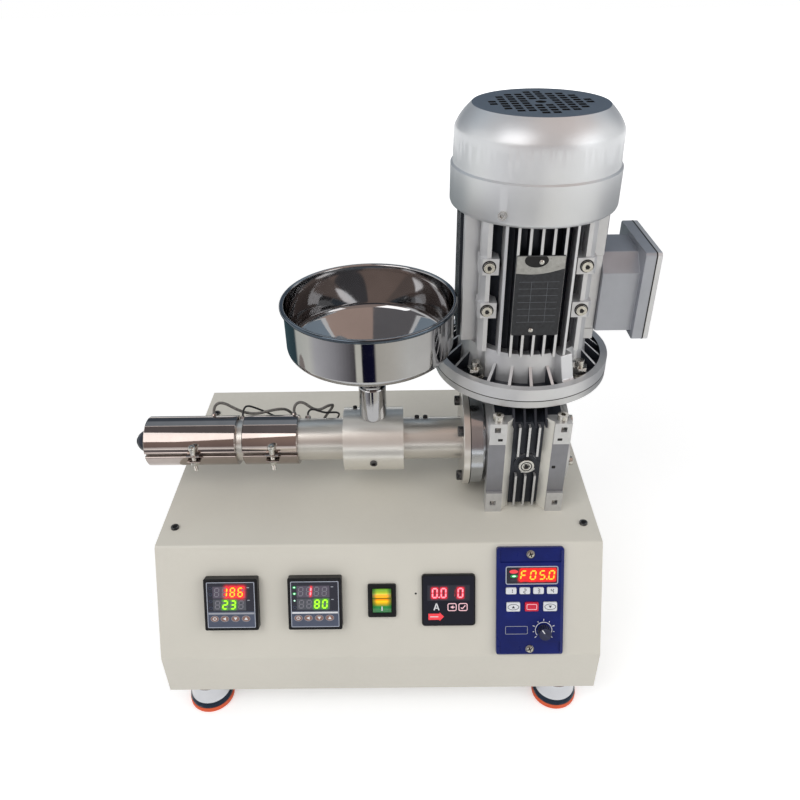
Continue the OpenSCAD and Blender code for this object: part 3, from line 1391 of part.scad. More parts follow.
module feed_collar() {
    color("lightgray") on_screw(collar_x) difference() {
        cylinder(r = collar_r, h = collar_w);
        drill(barrel_r + run_gap, collar_w);
        translate([0, 0, collar_w / 2]) {
            rotate([0, -90, 0]) cylinder(r = throat_r, h = collar_r);
            translate([-tube_seat_z, 0, 0]) rotate([0, -90, 0])
                cylinder(r = tube_r + run_gap, h = collar_r);
            collar_screw_place() translate([0, 0, -collar_r])
                drill(set_screw_r + run_gap, collar_r);
        }
    }
}
module feed_tube() {
    color("silver") translate([throat_x, axis_y, axis_z + tube_seat_z]) difference() {
        cylinder(r = tube_r, h = tube_top_z - tube_seat_z);
        drill(throat_r, tube_top_z);
        translate([0, 0, spout_seat_z - tube_seat_z])
            cylinder(r = spout_r + slide_gap, h = tube_top_z);
    }
}
// The hopper's outline, set in by the wall: spout, cone, rounded corner and wall
function hopper_line(inset) = let(
    corner = hopper_corner_r,
    wall_r = hopper_r + hopper_t - inset,
    fall = atan((hopper_cone_h - corner) / (wall_r - spout_r)),
    corner_r = corner - inset / 2,
    corner_z = cone_top_z + inset * 0.6
) concat(
    [[spout_r - inset, spout_seat_z], [spout_r - inset, cone_z + inset * 0.4]],
    [for (a = [fall - 90 : 15 : 0]) [wall_r - corner_r + corner_r * cos(a), corner_z + corner_r * sin(a)]],
    [[wall_r, corner_z], [wall_r + bead_r / 2, rim_z]]
);
module hopper() {
    color("silver") translate([throat_x, axis_y, axis_z]) rotate_extrude() {
        polygon(concat(hopper_line(0), reversed(hopper_line(hopper_t))));
        translate([hopper_r + hopper_t + bead_r / 2, rim_z]) circle(bead_r, $fn = 24);
    }
}

// Leads
function unit(v) = v / norm(v);
function towards(p, i) = unit(p[min(i + 1, len(p) - 1)] - p[max(i - 1, 0)]);
function flattened(v, t) = unit(v - t * (v * t));
// The ring's first direction, carried along the route without twisting
function carried(p, i) = i == 0 ? flattened([0.3, 1, 0.2], towards(p, 0))
    : flattened(carried(p, i - 1), towards(p, i));
module swept(p, r) {
    n = lead_sides;
    rings = [for (i = [0 : len(p) - 1]) let(t = towards(p, i), u = carried(p, i), w = cross(t, u))
        for (k = [0 : n - 1]) p[i] + r * (u * cos(k * 360 / n) + w * sin(k * 360 / n))];
    last = len(p) - 1;
    polyhedron(rings, concat(
        [[for (k = [0 : n - 1]) k]],
        [for (i = [0 : last - 1], k = [0 : n - 1]) let(a = i * n + k, b = i * n + (k + 1) % n)
            each [[a, a + n, b], [b, a + n, b + n]]],
        [[for (k = [n - 1 : -1 : 0]) last * n + k]]
    ));
}
module lead_along(p, r) { translate([adapter_x - lead_zero, axis_y, axis_z]) swept(p, r); }
module front_heater_lead() { color("dimgray") lead_along(front_lead_points, lead_r); }
module rear_heater_lead() { color("dimgray") lead_along(rear_lead_points, lead_r); }
module front_probe_lead() { color("black") lead_along(front_probe_points, probe_lead_r); }
module rear_probe_lead() { color("black") lead_along(rear_probe_points, probe_lead_r); }
module lead_grommet() {
    groove = grommet_t / 2;
    color("black") translate([grommet_x, grommet_y, top_z - sheet_t / 2]) rotate_extrude() polygon([
        [grommet_hole_r, -groove], [grommet_r, -groove], [grommet_r, -sheet_t / 2],
        [grommet_r - groove, -sheet_t / 2], [grommet_r - groove, sheet_t / 2],
        [grommet_r, sheet_t / 2], [grommet_r, groove], [grommet_hole_r, groove]
    ]);
}

placed() cabinet_shell();
placed() side_panels();
placed() base_plate();
placed() rear_panel();
placed() cabinet_screws();
placed() foot_cups();
placed() foot_pads();
placed() power_inlet();
placed() heater_relays();
placed() temperature_controllers();
placed() controller_clamps();
placed() ammeter();
placed() switch_frame();
placed() switch_rocker();
placed() drive_panel();
placed() display_windows();
placed() speed_knob();
placed() key_1();
placed() key_2();
placed() key_3();
placed() key_4();
placed() key_up();
placed() key_stop();
placed() key_down();
placed() gear_housing();
placed() gear_cover();
placed() input_flange();
placed() bearings();
placed() oil_seals();
placed() oil_plug();
placed() gearbox_bolts();
placed() worm();
placed() worm_wheel();
placed() motor_flange();
placed() motor_frame();
placed() stator();
placed() rotor();
placed() rear_shield();
placed() cooling_fan();
placed() fan_cowl();
placed() motor_screws();
placed() flange_bolts();
placed() terminal_box();
placed() terminal_lid();
placed() barrel_adapter();
placed() barrel();
placed() extruder_screw();
placed() nozzle();
placed() front_heater();
placed() rear_heater();
placed() barrel_bolts();
placed() feed_collar();
placed() feed_tube();
placed() hopper();
placed() front_heater_lead();
placed() rear_heater_lead();
placed() front_probe_lead();
placed() rear_probe_lead();
placed() lead_grommet();
placed() probes();
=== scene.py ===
# %% [markdown]
# # A benchtop filament extruder, dressed in Blender
# A filament extruder melts plastic pellets in a heated barrel and pushes the melt out of a
# small hole. The solid shapes come from the CAD model, in metres and already in their places.
# This lesson gives each of them its real finish and adds the small things that a drawing of
# solids leaves out: displays, printed marks, washers, threads and leads.

# %% Open the frame
import json
import math
import bmesh
import bpy
from mathutils import Matrix, Vector

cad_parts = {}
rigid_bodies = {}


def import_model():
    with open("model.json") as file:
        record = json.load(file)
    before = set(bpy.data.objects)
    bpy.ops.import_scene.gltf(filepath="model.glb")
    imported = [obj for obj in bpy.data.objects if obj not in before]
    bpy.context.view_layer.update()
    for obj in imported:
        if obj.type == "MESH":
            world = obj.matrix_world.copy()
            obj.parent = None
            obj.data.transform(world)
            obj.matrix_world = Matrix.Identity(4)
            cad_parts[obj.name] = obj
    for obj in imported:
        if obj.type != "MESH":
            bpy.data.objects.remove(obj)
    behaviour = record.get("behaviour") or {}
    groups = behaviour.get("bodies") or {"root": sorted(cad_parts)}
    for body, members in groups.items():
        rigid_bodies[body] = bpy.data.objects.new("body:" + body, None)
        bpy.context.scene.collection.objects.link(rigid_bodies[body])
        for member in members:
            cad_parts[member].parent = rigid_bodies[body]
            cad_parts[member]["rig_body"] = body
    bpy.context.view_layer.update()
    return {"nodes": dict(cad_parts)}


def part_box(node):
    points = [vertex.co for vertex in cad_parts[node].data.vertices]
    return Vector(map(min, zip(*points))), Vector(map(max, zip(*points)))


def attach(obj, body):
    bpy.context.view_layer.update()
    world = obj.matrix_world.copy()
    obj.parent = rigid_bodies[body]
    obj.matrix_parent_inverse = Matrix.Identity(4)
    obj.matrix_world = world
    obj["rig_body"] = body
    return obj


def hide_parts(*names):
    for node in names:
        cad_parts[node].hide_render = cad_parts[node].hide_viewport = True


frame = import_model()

# %% [markdown]
# ## Places on the machine
# The machine was drawn from its own corner, in millimetres: X runs right from the cabinet's
# middle, Y runs back from its front, Z runs up from the floor. The part's frame puts zero under
# the middle of the whole machine, so one small function turns a machine place into metres.
# A frame is a matrix that also holds the scale, so that pieces can be drawn in millimetres.

# %% Machine places and frames
sheet_low, sheet_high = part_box("cabinet_shell")
MIDDLE = Vector((-(sheet_low[0] + sheet_high[0]) * 500, -sheet_low[1] * 1000, 0))
MILLIMETRE = Matrix.Scale(0.001, 4)
LEAN = 25.8                                      # degrees that the instrument panel leans back
KNEE_Z, TOP_Z = 76, 171.434                      # the sheet's lower bend and the cabinet's top
AXIS_Y, AXIS_Z = 137.5, 221.434                  # the axis of the extruder screw
TIP_X, FLANGE_X = -218.5, 84.5                   # the two ends of the barrel
HOPPER_X = -4.35                                 # the middle of hopper and feed tube
GEAR_X, WORM_Y = 134.5, 177.5                    # the upright axis of motor and worm
JOINT_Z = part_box("input_flange")[1][2] * 1000    # where the motor stands on the gearbox
ROW_S, DRIVE_S = 54.38, 52.894                   # up the slope: instrument row, speed panel
CONTROLLER_X, SWITCH_X, AMMETER_X, DRIVE_X = (-131.8, -57), 2.6, 62.3, 135
QUARTERS = (45, 135, 225, 315)                   # turns of four screws set in a square


def spot(x, y, z):
    return (Vector((x, y, z)) - MIDDLE) / 1000


def turned_by(degrees, axis):
    return Matrix.Rotation(math.radians(degrees), 4, axis)


def stand(x, y, z, turn=Matrix.Identity(4)):
    """A frame in millimetres at a machine place."""
    return Matrix.Translation(spot(x, y, z)) @ turn @ MILLIMETRE


def on_slope(x, s, out=0):
    """On the sloping panel: X right, Y up the slope, Z out of it."""
    lean = math.radians(LEAN)
    place = stand(x, s * math.sin(lean), KNEE_Z + s * math.cos(lean), turned_by(90 - LEAN, "X"))
    return place @ Matrix.Translation((0, 0, out))


def on_screw(x):
    """On the extruder screw's axis: Z runs right along it, Y to the back, X down."""
    return stand(x, AXIS_Y, AXIS_Z, turned_by(90, "Y"))


def on_motor(z):
    """On the motor's axis, Z up."""
    return stand(GEAR_X, WORM_Y, z)


print("instrument row at", [round(v, 4) for v in on_slope(0, ROW_S).translation])

# %% [markdown]
# ## The camera
# The photograph looks down on the machine by about 33 degrees, from some 0.7 metres away. The
# camera's place, turn and lens were worked out from edges whose real places are known, such as
# the cabinet's corners and the motor's flange, so the render can be laid over the photograph.

# %% Set the camera
pitch, yaw, roll = math.radians(33.405), math.radians(-0.479), math.radians(-0.969)
ahead = Vector((math.sin(yaw) * math.cos(pitch), math.cos(yaw) * math.cos(pitch), -math.sin(pitch)))
level = Vector((math.cos(yaw), -math.sin(yaw), 0))
above = level.cross(ahead)
right = math.cos(roll) * level + math.sin(roll) * above
up = math.cos(roll) * above - math.sin(roll) * level
lens = bpy.data.cameras.new("camera")
lens.sensor_width, lens.lens, lens.clip_start = 36, 32.886, 0.01
camera = bpy.data.objects.new("camera", lens)
bpy.context.scene.collection.objects.link(camera)
eye = spot(25.56, -426.75, 637.12)
camera.matrix_world = Matrix.Translation(eye) @ Matrix((right, up, -ahead)).transposed().to_4x4()
bpy.context.scene.camera = camera
bpy.context.scene.view_settings.view_transform = "Standard"
print("camera looks along", [round(v, 3) for v in ahead])

# %% [markdown]
# ## Effects that finishes share
# A real surface is never one flat colour. It drifts a little in shade, has a grain that catches
# the light, is rubbed smoother in some places, is worn bright along its edges and holds dust on
# top. The bright edges are also a painted highlight. Each effect is a node group with named
# sockets, built once and used by many finishes.

# %% A helper for node groups
def add_node(tree, kind, settings=None, **inputs):
    made = tree.nodes.new("ShaderNode" + kind)
    for key, value in (settings or {}).items():
        setattr(made, key, value)
    for key, value in inputs.items():
        made.inputs[key.replace("_", " ")].default_value = value
    return made


def start_effect(name, inputs, output):
    tree = bpy.data.node_groups.new(name, "ShaderNodeTree")
    for label, kind, value in inputs:
        socket = tree.interface.new_socket(label, in_out="INPUT", socket_type="NodeSocket" + kind)
        if value is not None:
            socket.default_value = value
    tree.interface.new_socket(output[0], in_out="OUTPUT", socket_type="NodeSocket" + output[1])
    return tree, tree.nodes.new("NodeGroupInput").outputs, tree.nodes.new("NodeGroupOutput").inputs


def blend_colours(tree, mode, amount, first, second):
    mix = add_node(tree, "Mix", {"data_type": "RGBA", "blend_type": mode})
    for value, socket in ((amount, mix.inputs[0]), (first, mix.inputs[6]), (second, mix.inputs[7])):
        if isinstance(value, bpy.types.NodeSocket):
            tree.links.new(value, socket)
        else:
            socket.default_value = value
    return mix.outputs[2]


def join(tree, *pairs):
    """Links each pair of an output and an input."""
    for source, target in pairs:
        tree.links.new(source, target)


print("node helpers ready")

# %% Shade drift: slow changes of brightness over a surface
drift_tree, given, result = start_effect(
    "shade_drift", [("Place", "Vector", None), ("Colour", "Color", (1, 1, 1, 1)),
                    ("Patches", "Float", 30.0), ("Amount", "Float", 0.06)], ("Colour", "Color"))
cloud = add_node(drift_tree, "TexNoise", Detail=4.0, Roughness=0.6)
spread = add_node(drift_tree, "MapRange", From_Min=0.3, From_Max=0.7, To_Min=-1.0, To_Max=1.0)
scaled = add_node(drift_tree, "Math", {"operation": "MULTIPLY_ADD"})
scaled.inputs[2].default_value = 1.0
shade = add_node(drift_tree, "VectorMath", {"operation": "SCALE"})
join(drift_tree, (given["Place"], cloud.inputs["Vector"]), (given["Patches"], cloud.inputs["Scale"]),
     (cloud.outputs["Fac"], spread.inputs["Value"]),
     (spread.outputs["Result"], scaled.inputs[0]), (given["Amount"], scaled.inputs[1]),
     (given["Colour"], shade.inputs[0]), (scaled.outputs[0], shade.inputs["Scale"]),
     (shade.outputs[0], result["Colour"]))
print("effect", drift_tree.name)

# %% Surface grain: the fine relief of paint, castings and moulded plastic
grain_tree, given, result = start_effect(
    "surface_grain", [("Place", "Vector", None), ("Fineness", "Float", 900.0),
                      ("Pebbles", "Float", 0.0)], ("Height", "Float"))
fine = add_node(grain_tree, "TexNoise", Detail=3.0, Roughness=0.65)
pebble = add_node(grain_tree, "TexVoronoi", {"feature": "SMOOTH_F1"}, Smoothness=0.6)
mix_relief = add_node(grain_tree, "Mix", {"data_type": "FLOAT"})
join(grain_tree, (given["Place"], fine.inputs["Vector"]), (given["Fineness"], fine.inputs["Scale"]),
     (given["Place"], pebble.inputs["Vector"]), (given["Fineness"], pebble.inputs["Scale"]),
     (given["Pebbles"], mix_relief.inputs[0]), (fine.outputs["Fac"], mix_relief.inputs[2]),
     (pebble.outputs["Distance"], mix_relief.inputs[3]),
     (mix_relief.outputs[0], result["Height"]))
print("effect", grain_tree.name)

# %% Rubbed gloss: hands and cloths polish a surface unevenly
gloss_tree, given, result = start_effect(
    "rubbed_gloss", [("Place", "Vector", None), ("Streaks", "Float", 60.0),
                     ("Smoothest", "Float", 0.3), ("Roughest", "Float", 0.5)], ("Roughness", "Float"))
smear = add_node(gloss_tree, "TexNoise", Detail=6.0, Roughness=0.7)
level_out = add_node(gloss_tree, "MapRange", From_Min=0.3, From_Max=0.72)
join(gloss_tree, (given["Place"], smear.inputs["Vector"]), (given["Streaks"], smear.inputs["Scale"]),
     (smear.outputs["Fac"], level_out.inputs["Value"]),
     (given["Smoothest"], level_out.inputs["To Min"]),
     (given["Roughest"], level_out.inputs["To Max"]),
     (level_out.outputs["Result"], result["Roughness"]))
print("effect", gloss_tree.name)

# %% Worn and glinting edges: corners lose their paint or oxide first, and carry a painted highlight
wear_and_glint_tree, given, result = start_effect(
    "worn_and_glinting_edges", [("Place", "Vector", None), ("Colour", "Color", (1, 1, 1, 1)),
                   ("Bare", "Color", (0.8, 0.8, 0.8, 1)), ("Amount", "Float", 0.5)], ("Colour", "Color"))
corner = add_node(wear_and_glint_tree, "NewGeometry")
edge = add_node(wear_and_glint_tree, "MapRange", From_Min=0.52, From_Max=0.6)
nicks = add_node(wear_and_glint_tree, "TexNoise", Scale=260.0, Detail=5.0)
patchy = add_node(wear_and_glint_tree, "MapRange", From_Min=0.35, From_Max=0.6)
both = add_node(wear_and_glint_tree, "Math", {"operation": "MULTIPLY"})
strength = add_node(wear_and_glint_tree, "Math", {"operation": "MULTIPLY"})
join(wear_and_glint_tree, (corner.outputs["Pointiness"], edge.inputs["Value"]),
     (given["Place"], nicks.inputs["Vector"]),
     (nicks.outputs["Fac"], patchy.inputs["Value"]),
     (edge.outputs["Result"], both.inputs[0]), (patchy.outputs["Result"], both.inputs[1]),
     (both.outputs[0], strength.inputs[0]), (given["Amount"], strength.inputs[1]))
wear_and_glint_tree.links.new(blend_colours(wear_and_glint_tree, "MIX", strength.outputs[0], given["Colour"], given["Bare"]),
                    result["Colour"])
print("effect", wear_and_glint_tree.name)

# %% Settled dust: it lies only on faces that look up
dust_tree, given, result = start_effect(
    "settled_dust", [("Place", "Vector", None), ("Colour", "Color", (1, 1, 1, 1)),
                     ("Amount", "Float", 0.1)], ("Colour", "Color"))
facing = add_node(dust_tree, "NewGeometry")
heights = add_node(dust_tree, "SeparateXYZ")
upward = add_node(dust_tree, "MapRange", From_Min=0.55, From_Max=1.0)
drifted = add_node(dust_tree, "TexNoise", Scale=45.0, Detail=6.0)
thin = add_node(dust_tree, "Math", {"operation": "MULTIPLY"})
least = add_node(dust_tree, "Math", {"operation": "MULTIPLY"})
join(dust_tree, (facing.outputs["Normal"], heights.inputs[0]),
     (heights.outputs["Z"], upward.inputs["Value"]),
     (given["Place"], drifted.inputs["Vector"]), (upward.outputs["Result"], thin.inputs[0]),
     (drifted.outputs["Fac"], thin.inputs[1]), (thin.outputs[0], least.inputs[0]),
     (given["Amount"], least.inputs[1]))
dust_colour = (0.62, 0.58, 0.5, 1)
dust_tree.links.new(blend_colours(dust_tree, "MIX", least.outputs[0], given["Colour"], dust_colour),
                    result["Colour"])
print("effect", dust_tree.name)

# %% [markdown]
# ## Finishes
# Each finish is one material: its colour passes through the shared effects, and the grain goes
# into a bump node. Numbers that are the same all over, such as how metallic it is, are set on
# the shader itself. Grain is given in millimetres, so that it has its real size.

# %% Make a finish
def linear(code):
    """A screen colour such as D7D4CB as the linear values that the shader wants."""
    parts = [int(code[i:i + 2], 16) / 255 for i in (0, 2, 4)]
    return tuple(v / 12.92 if v <= 0.04045 else ((v + 0.055) / 1.055) ** 2.4 for v in parts) + (1,)


def place_effect(tree, effect, source, **values):
    made = tree.nodes.new("ShaderNodeGroup")
    made.node_tree = effect
    tree.links.new(source, made.inputs["Place"])
    for key, value in values.items():
        if isinstance(value, bpy.types.NodeSocket):
            tree.links.new(value, made.inputs[key])
        else:
            made.inputs[key].default_value = value
    return made.outputs[0]


def make_finish(name, colour, gloss=(0.35, 0.5), metal=0.0, drift=0.05, patch=30, grain=0.01,
                grain_size=1.0, pebbles=0.0, stretch=(1, 1, 1), worn=0.0, bare="C9C9C6", dust=0.0,
                coat=0.0, glow=0.0, shine=0.5):
    """Patch, grain and grain_size are in millimetres; gloss is the smoothest and the roughest."""
    finish = bpy.data.materials.new(name)
    finish.use_nodes = True
    tree = finish.node_tree
    shader = tree.nodes["Principled BSDF"]
    where = add_node(tree, "TexCoord").outputs["Object"]
    drawn = add_node(tree, "Mapping")
    drawn.inputs["Scale"].default_value = stretch
    tree.links.new(where, drawn.inputs["Vector"])
    shade = place_effect(tree, drift_tree, where, Colour=linear(colour), Patches=1000.0 / patch,
                         Amount=drift)
    # Edges lighten where paint wears off, and also as a painted highlight along every edge.
    if worn:
        shade = place_effect(tree, wear_and_glint_tree, where, Colour=shade, Bare=linear(bare), Amount=worn)
    if dust:
        shade = place_effect(tree, dust_tree, where, Colour=shade, Amount=dust)
    tree.links.new(shade, shader.inputs["Base Color"])
    rubbed = place_effect(tree, gloss_tree, drawn.outputs[0], Streaks=60.0, Smoothest=gloss[0],
                          Roughest=gloss[1])
    tree.links.new(rubbed, shader.inputs["Roughness"])
    relief = place_effect(tree, grain_tree, drawn.outputs[0], Fineness=1000.0 / grain_size,
                          Pebbles=pebbles)
    bump = add_node(tree, "Bump", Strength=1.0, Distance=grain / 1000)
    tree.links.new(relief, bump.inputs["Height"])
    tree.links.new(bump.outputs[0], shader.inputs["Normal"])
    shader.inputs["Metallic"].default_value = metal
    shader.inputs["Specular IOR Level"].default_value = shine
    shader.inputs["Coat Weight"].default_value = coat
    shader.inputs["Coat Roughness"].default_value = 0.08
    if glow:
        tree.links.new(shade, shader.inputs["Emission Color"])
        shader.inputs["Emission Strength"].default_value = glow
    return finish


print("finishes are made by", make_finish.__name__)

# %% Paint, plastic and rubber
FINISH = {
    "cabinet_paint": make_finish("cabinet_paint", "D9D5CA", (0.34, 0.46), drift=0.025, patch=90,
                                 grain=0.012, grain_size=1.1, worn=0.12, bare="F2F0EA", dust=0.05),
    "dark_screw": make_finish("dark_screw", "232428", (0.3, 0.5), 0.7, grain=0.01, grain_size=0.4,
                              worn=0.3),
    "foot_pad": make_finish("foot_pad", "E8571E", (0.42, 0.6), drift=0.08, patch=14, grain=0.02,
                            dust=0.2),
    "black_plastic": make_finish("black_plastic", "101114", (0.34, 0.48), drift=0.12, patch=20,
                                 grain=0.012, grain_size=0.35, worn=0.15, bare="4A4B50", dust=0.03,
                                 shine=0.25),
    "relay_case": make_finish("relay_case", "C9C9C4", (0.3, 0.42), grain=0.01, grain_size=0.5,
                              dust=0.2),
    "panel_blue": make_finish("panel_blue", "101E66", (0.26, 0.36), drift=0.2, patch=25, grain=0.01,
                              grain_size=0.5, shine=0.2),
    "window": make_finish("window", "06081C", (0.06, 0.12), drift=0.15, patch=12, grain=0.002,
                          shine=0.25),
    "knob_plastic": make_finish("knob_plastic", "1A1F3C", (0.34, 0.48), drift=0.1, patch=6, grain=0.012,
                                grain_size=0.3, worn=0.2, bare="5A6390"),
    "key_white": make_finish("key_white", "E4E6EA", (0.25, 0.38), drift=0.03, patch=8, grain=0.006,
                             grain_size=0.4, dust=0.05),
    "key_red": make_finish("key_red", "D6173A", (0.22, 0.34), drift=0.06, patch=8, grain=0.006,
                           grain_size=0.4),
    "seal_rubber": make_finish("seal_rubber", "1C1B1A", (0.5, 0.65), grain=0.02, grain_size=0.6),
    "winding": make_finish("winding", "8A4B23", (0.3, 0.5), drift=0.15, patch=5, grain=0.05,
                           grain_size=1.2),
    "heater_lead": make_finish("heater_lead", "6A6763", (0.5, 0.7), drift=0.45, patch=1.6, grain=0.16,
                               grain_size=0.9, pebbles=0.6),
    "probe_lead": make_finish("probe_lead", "1D1E20", (0.4, 0.6), drift=0.3, patch=1.4, grain=0.1,
                              grain_size=0.7, pebbles=0.6),
}
print(len(FINISH), "painted, moulded and sleeved finishes")

# %% Metals
FINISH.update({
    "foot_chrome": make_finish("foot_chrome", "C4C6CA", (0.06, 0.16), 1.0, drift=0.05, grain=0.004,
                               dust=0.12),
    "cast_alloy": make_finish("cast_alloy", "C6C7C8", (0.32, 0.44), 0.7, drift=0.04, patch=16,
                              grain=0.03, grain_size=0.5, worn=0.15, bare="F0F0EE", dust=0.05),
    "motor_paint": make_finish("motor_paint", "CDCED0", (0.32, 0.42), 0.55, drift=0.03, patch=20,
                               grain=0.024, grain_size=0.55, worn=0.1, bare="ECECEA", dust=0.05),
    "cowl_paint": make_finish("cowl_paint", "D2D4D6", (0.36, 0.42), 0.62, drift=0.02, patch=25,
                              grain=0.06, grain_size=0.9, pebbles=0.15),
    "bearing_steel": make_finish("bearing_steel", "A9ACB0", (0.12, 0.22), 1.0, grain=0.004),
    "bright_screw": make_finish("bright_screw", "BDBCB6", (0.14, 0.32), 1.0, drift=0.12, patch=5,
                                grain=0.008, grain_size=0.4, worn=0.4, bare="F4F3EE"),
    "worm_steel": make_finish("worm_steel", "8C8E92", (0.18, 0.3), 1.0, grain=0.006),
    "wheel_bronze": make_finish("wheel_bronze", "B98B45", (0.2, 0.34), 1.0, grain=0.01),
    "rotor_steel": make_finish("rotor_steel", "77797D", (0.22, 0.36), 1.0, grain=0.01,
                               stretch=(1, 1, 12)),
    "barrel_steel": make_finish("barrel_steel", "D2CFC9", (0.28, 0.34), 0.8, drift=0.03, patch=30,
                                grain=0.004, grain_size=6.0, stretch=(9, 1, 1)),
    "nozzle_steel": make_finish("nozzle_steel", "32363F", (0.16, 0.34), 1.0, drift=0.3, patch=9,
                                grain=0.01, grain_size=0.8, worn=0.5, bare="9FA6B2"),
    "heater_band": make_finish("heater_band", "A89E99", (0.03, 0.09), 1.0, drift=0.12, patch=45,
                               grain=0.01, grain_size=9.0),
    "collar_steel": make_finish("collar_steel", "E4E2DC", (0.28, 0.34), 0.75, drift=0.03, patch=30,
                                grain=0.004, grain_size=6.0, stretch=(9, 1, 1)),
    "hopper_steel": make_finish("hopper_steel", "A7A7A8", (0.035, 0.1), 1.0, drift=0.08, patch=60,
                                grain=0.006, grain_size=14.0),
})
print(len(FINISH), "finishes in all")

# %% [markdown]
# The rocker of the power switch is clear green plastic over a small lamp, so it glows: yellow
# where the lamp sits behind its upper half, green lower down. A colour ramp over the height
# gives that. Towards both sides it fades into dark green, because the lamp is only in the
# middle. The result goes into the base colour and into the emission.

# %% The lit rocker
rocker_finish = make_finish("rocker_green", "2C9A3A", (0.12, 0.2), drift=0.05, patch=6, grain=0.01,
                            coat=0.5, glow=0.55)
tree, shader = rocker_finish.node_tree, rocker_finish.node_tree.nodes["Principled BSDF"]
GLOW_LOW, GLOW_HIGH = 0.1155, 0.1375    # heights of the ramp's ends, in metres
DIM_FROM, DIM_TO = 0.0042, 0.0072       # to the side of the rocker's middle, in metres
position = add_node(tree, "SeparateXYZ")
climb = add_node(tree, "MapRange", From_Min=GLOW_LOW, From_Max=GLOW_HIGH)
lamp = add_node(tree, "ValToRGB")
stops = ((0.0, "14502A"), (0.3, "1F7A3A"), (0.42, "C8A018"), (0.5, "FFC21E"), (0.6, "F08A08"),
         (0.655, "6A5A10"), (0.675, "6A5A10"), (0.7, "FFB41A"), (0.8, "FF9A0A"), (0.88, "C9C428"),
         (0.95, "2E9A3A"), (1.0, "1E6B2C"))
while len(lamp.color_ramp.elements) < len(stops):
    lamp.color_ramp.elements.new(0.5)
for element, (height, code) in zip(lamp.color_ramp.elements, stops):
    element.position, element.color = height, linear(code)
rocker_low, rocker_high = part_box("switch_rocker")
beside = add_node(tree, "Math", {"operation": "SUBTRACT"})
beside.inputs[1].default_value = (rocker_low[0] + rocker_high[0]) / 2
aside = add_node(tree, "Math", {"operation": "ABSOLUTE"})
shaded = add_node(tree, "MapRange", From_Min=DIM_FROM, From_Max=DIM_TO, To_Max=0.8)
join(tree, (add_node(tree, "TexCoord").outputs["Object"], position.inputs[0]),
     (position.outputs["Z"], climb.inputs["Value"]), (climb.outputs["Result"], lamp.inputs["Fac"]),
     (position.outputs["X"], beside.inputs[0]), (beside.outputs[0], aside.inputs[0]),
     (aside.outputs[0], shaded.inputs["Value"]))
lit = blend_colours(tree, "MIX", shaded.outputs["Result"], lamp.outputs["Color"], linear("1B5A28"))
join(tree, (lit, shader.inputs["Base Color"]), (lit, shader.inputs["Emission Color"]))
FINISH["rocker_green"] = rocker_finish
print("rocker glows at strength", round(shader.inputs["Emission Strength"].default_value, 2))

# %% Printed and lit marks
PRINT = {
    "lit_pink": make_finish("lit_pink", "FF8C9C", (0.3, 0.4), drift=0.08, patch=3, glow=0.9),
    "lit_amber": make_finish("lit_amber", "FFB028", (0.3, 0.4), drift=0.08, patch=3, glow=1.0),
    "lit_green": make_finish("lit_green", "A4F020", (0.3, 0.4), drift=0.08, patch=3, glow=0.9),
    "lamp_green": make_finish("lamp_green", "0E8A3C", (0.3, 0.4), drift=0.1, patch=3, glow=0.6),
    "lamp_core": make_finish("lamp_core", "C8FFE0", (0.3, 0.4), drift=0.05, patch=3, glow=0.7),
    "red_haze": make_finish("red_haze", "8E0F14", (0.3, 0.4), drift=0.3, patch=4, glow=0.5),
    "unlit": make_finish("unlit", "7C7A84", (0.3, 0.4), drift=0.1, patch=4),
    "dim_print": make_finish("dim_print", "34405C", (0.3, 0.4), drift=0.1, patch=4),
    "frame_print": make_finish("frame_print", "B4BAC8", (0.3, 0.4), drift=0.04, patch=8),
    # pink print has a faint painted glow, with no lamp behind it
    "pink_print_glow": make_finish("pink_print_glow", "F4C4CC", (0.3, 0.4), drift=0.04, patch=4, glow=0.2),
    "module": make_finish("module", "2B2C38", (0.2, 0.3), drift=0.15, patch=5),
    "grey_film": make_finish("grey_film", "4C5468", (0.3, 0.42), drift=0.05, patch=10, grain=0.01,
                             grain_size=0.4),
    "brown_film": make_finish("brown_film", "8C6A60", (0.3, 0.42), drift=0.06, patch=5, grain=0.01),
    "pale_print": make_finish("pale_print", "E6E7EA", (0.35, 0.45), drift=0.04, patch=4),
    "grey_print": make_finish("grey_print", "A4A7B0", (0.35, 0.45), drift=0.05, patch=4),
    "dark_print": make_finish("dark_print", "2A2E3C", (0.35, 0.45), drift=0.1, patch=4),
    # glows faintly: the light of the speed panel's red lamp, and a painted glow on the ammeter's printed
    # arrow
    "red_print_and_lamp_glow": make_finish("red_print_and_lamp_glow", "F0404A", (0.3, 0.4), drift=0.06, patch=4, glow=0.25),
    "plate_dark": make_finish("plate_dark", "2B2D31", (0.34, 0.5), 0.3, drift=0.3, patch=2.5,
                              grain=0.012, grain_size=0.5),
    "plate_bright": make_finish("plate_bright", "A6A7A6", (0.25, 0.4), 0.9, drift=0.15, patch=3,
                                grain=0.01, stretch=(1, 1, 8)),
    "rule_print": make_finish("rule_print", "63666C", (0.35, 0.45), drift=0.3, patch=2),
    # dark joint lines, and painted shade in holes, sockets, slots and recesses
    "dark_joint_and_shade": make_finish("dark_joint_and_shade", "0B0B0D", (0.6, 0.8), drift=0.2, patch=4),
}
print(len(PRINT), "finishes for marks")

# %% [markdown]
# ## Two ways to make a piece
# Most pieces are either turned, as on a lathe, or cut from an outline and pushed to a
# thickness. Both draw into one bmesh, so that a screw with its washer can be one piece. Faces
# are shaded smooth and edges sharper than a set angle are marked, as a good CAD viewer does.

